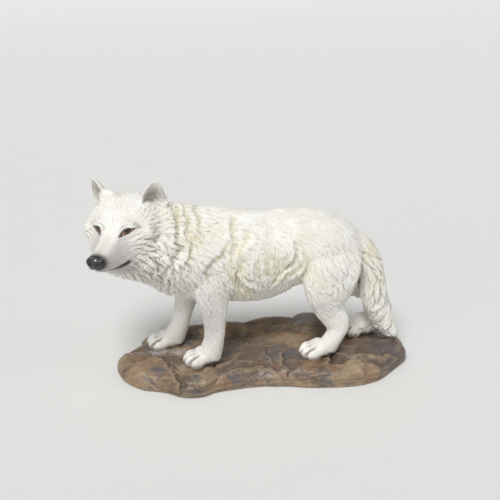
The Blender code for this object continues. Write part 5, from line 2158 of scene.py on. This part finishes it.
@dataclass
class Stage:
    """The floor, the lamps and the camera."""

    floor_colour: Row = rgb(226, 226, 224)
    # the camera: degrees round and up, distance, and what it looks at and where in the picture
    azimuth: float = -8.0
    elevation: float = 24.0
    distance: float = 750.0
    lens: float = 67.5
    sensor: float = 36.0
    picture: float = 500.0
    target: Row = (0.0, 7.5, 62.0)
    target_pixel: Row = (262.0, 292.0)
    # the floor: the backdrop's curve, how far the floor reaches, how high the backdrop and half of
    # its width
    curve: float = 900.0
    depth: float = 1600.0
    rise: float = 2600.0
    half_width: float = 4000.0
    # lamps: name, place, size, power in watts
    lamps: tuple[tuple[str, Row, float, float], ...] = (
        ("fill", (-1500, -1300, 700), 900, 4.0),
        ("side", (1600, -500, 1000), 800, 3.0),
    )
    # the key lamp's direction, softness in degrees and strength
    key_from: Row = (-0.30, -0.62, 1.0)
    key_spread: float = 24.0
    key_power: float = 2.45
    # how high above the ground plane the soft lamps aim, and the world's colour and strength
    lamp_target: float = 70.0
    world_colour: Row = rgb(236, 236, 238)
    world_power: float = 0.26

    def build(self) -> None:
        """Makes the stage."""
        self.floor()
        self.light()
        self.camera()

    def floor(self) -> None:
        """A pale floor that curves up into a backdrop."""
        angles = np.linspace(0, math.pi / 2, 13)
        radius, depth, side = self.curve, self.depth, self.half_width * MM
        profile = [(-depth, 0.0), (depth, 0.0)]
        profile += [(depth + radius * math.sin(a), radius * (1 - math.cos(a))) for a in angles[1:]]
        profile.append((depth + radius, self.rise))
        points = [(x, y * MM, z * MM) for y, z in profile for x in (-side, side)]
        rows = range(0, 2 * len(profile) - 2, 2)
        faces = [(i, i + 1, i + 3, i + 2) for i in rows]
        mesh = bpy.data.meshes.new("floor")
        mesh.from_pydata(points, [], faces)
        mesh.shade_smooth()
        paint = Shader("floor_paper")
        grain = paint.noise(paint.place(), 30, 2)
        colour = paint.mix(grain * 0.12, self.floor_colour, rgb(214, 214, 212))
        paint.set(Base_Color=colour, Roughness=0.9)
        mesh.materials.append(paint.material)
        link("floor", mesh)

    @staticmethod
    def aim(lamp: bpy.types.Object, direction: Vector) -> None:
        """Turns a lamp to shine in a direction."""
        lamp.rotation_euler = direction.to_track_quat("-Z", "Y").to_euler()

    def light(self) -> None:
        """Two soft lamps, the key lamp, and an even world that looks pale to the camera only."""
        for name, place, size, power in self.lamps:
            lamp = bpy.data.lights.new(name, "AREA")
            lamp.energy, lamp.size = power, size * MM
            made = link(name, lamp)
            made.location = Vector(place) * MM
            self.aim(made, Vector((0, 0, self.lamp_target * MM)) - made.location)
        lamp = bpy.data.lights.new("key", "SUN")
        lamp.energy, lamp.angle = self.key_power, math.radians(self.key_spread)
        self.aim(link("key", lamp), -Vector(self.key_from))
        world = bpy.data.worlds.new("studio")
        bpy.context.scene.world = world
        world.use_nodes = True
        background = world.node_tree.nodes["Background"]
        background.inputs["Color"].default_value = self.world_colour
        background.inputs["Strength"].default_value = self.world_power
        tree = world.node_tree
        seen = tree.nodes.new("ShaderNodeBackground")
        seen.inputs["Color"].default_value = self.floor_colour
        path, both = tree.nodes.new("ShaderNodeLightPath"), tree.nodes.new("ShaderNodeMixShader")
        tree.links.new(path.outputs["Is Camera Ray"], both.inputs[0])
        tree.links.new(background.outputs[0], both.inputs[1])
        tree.links.new(seen.outputs[0], both.inputs[2])
        tree.links.new(both.outputs[0], tree.nodes["World Output"].inputs["Surface"])

    def camera(self) -> None:
        """The camera, at the photograph's angle."""
        around, over = math.radians(self.azimuth), math.radians(self.elevation)
        flat = math.cos(over)
        back = Vector((math.sin(around) * flat, -math.cos(around) * flat, math.sin(over)))
        right = Vector((math.cos(around), math.sin(around), 0.0))
        up = back.cross(right)
        focal = self.lens / self.sensor * self.picture
        aside = (self.target_pixel[0] - self.picture / 2) / focal * self.distance
        down = (self.target_pixel[1] - self.picture / 2) / focal * self.distance
        place = Vector(self.target) + self.distance * back - aside * right + down * up
        lens = bpy.data.cameras.new("camera")
        lens.lens, lens.sensor_width = self.lens, self.sensor
        lens.clip_start, lens.clip_end = 0.02, 20.0
        made = link("camera", lens)
        turn = Matrix((right, up, back)).transposed().to_4x4()
        made.matrix_world = Matrix.Translation(place * MM) @ turn
        bpy.context.scene.camera = made


def main() -> None:
    """Builds the stage and every piece in order."""
    logging.basicConfig(level=logging.INFO, format="%(name)s: %(message)s")
    for item in list(bpy.data.objects):
        bpy.data.objects.remove(item)
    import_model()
    bpy.context.scene.view_settings.view_transform = "Standard"
    Stage().build()
    head = Head()
    Wolf(head=head).build(WhitePaint().build())
    Eyes(head).build(GlossPaint("eye_gloss").build())
    Nose(head).build(GlossPaint("nose_gloss", roughness=0.28).build())
    Rock().build(RockPaint().build())


if __name__ == "__main__":
    main()
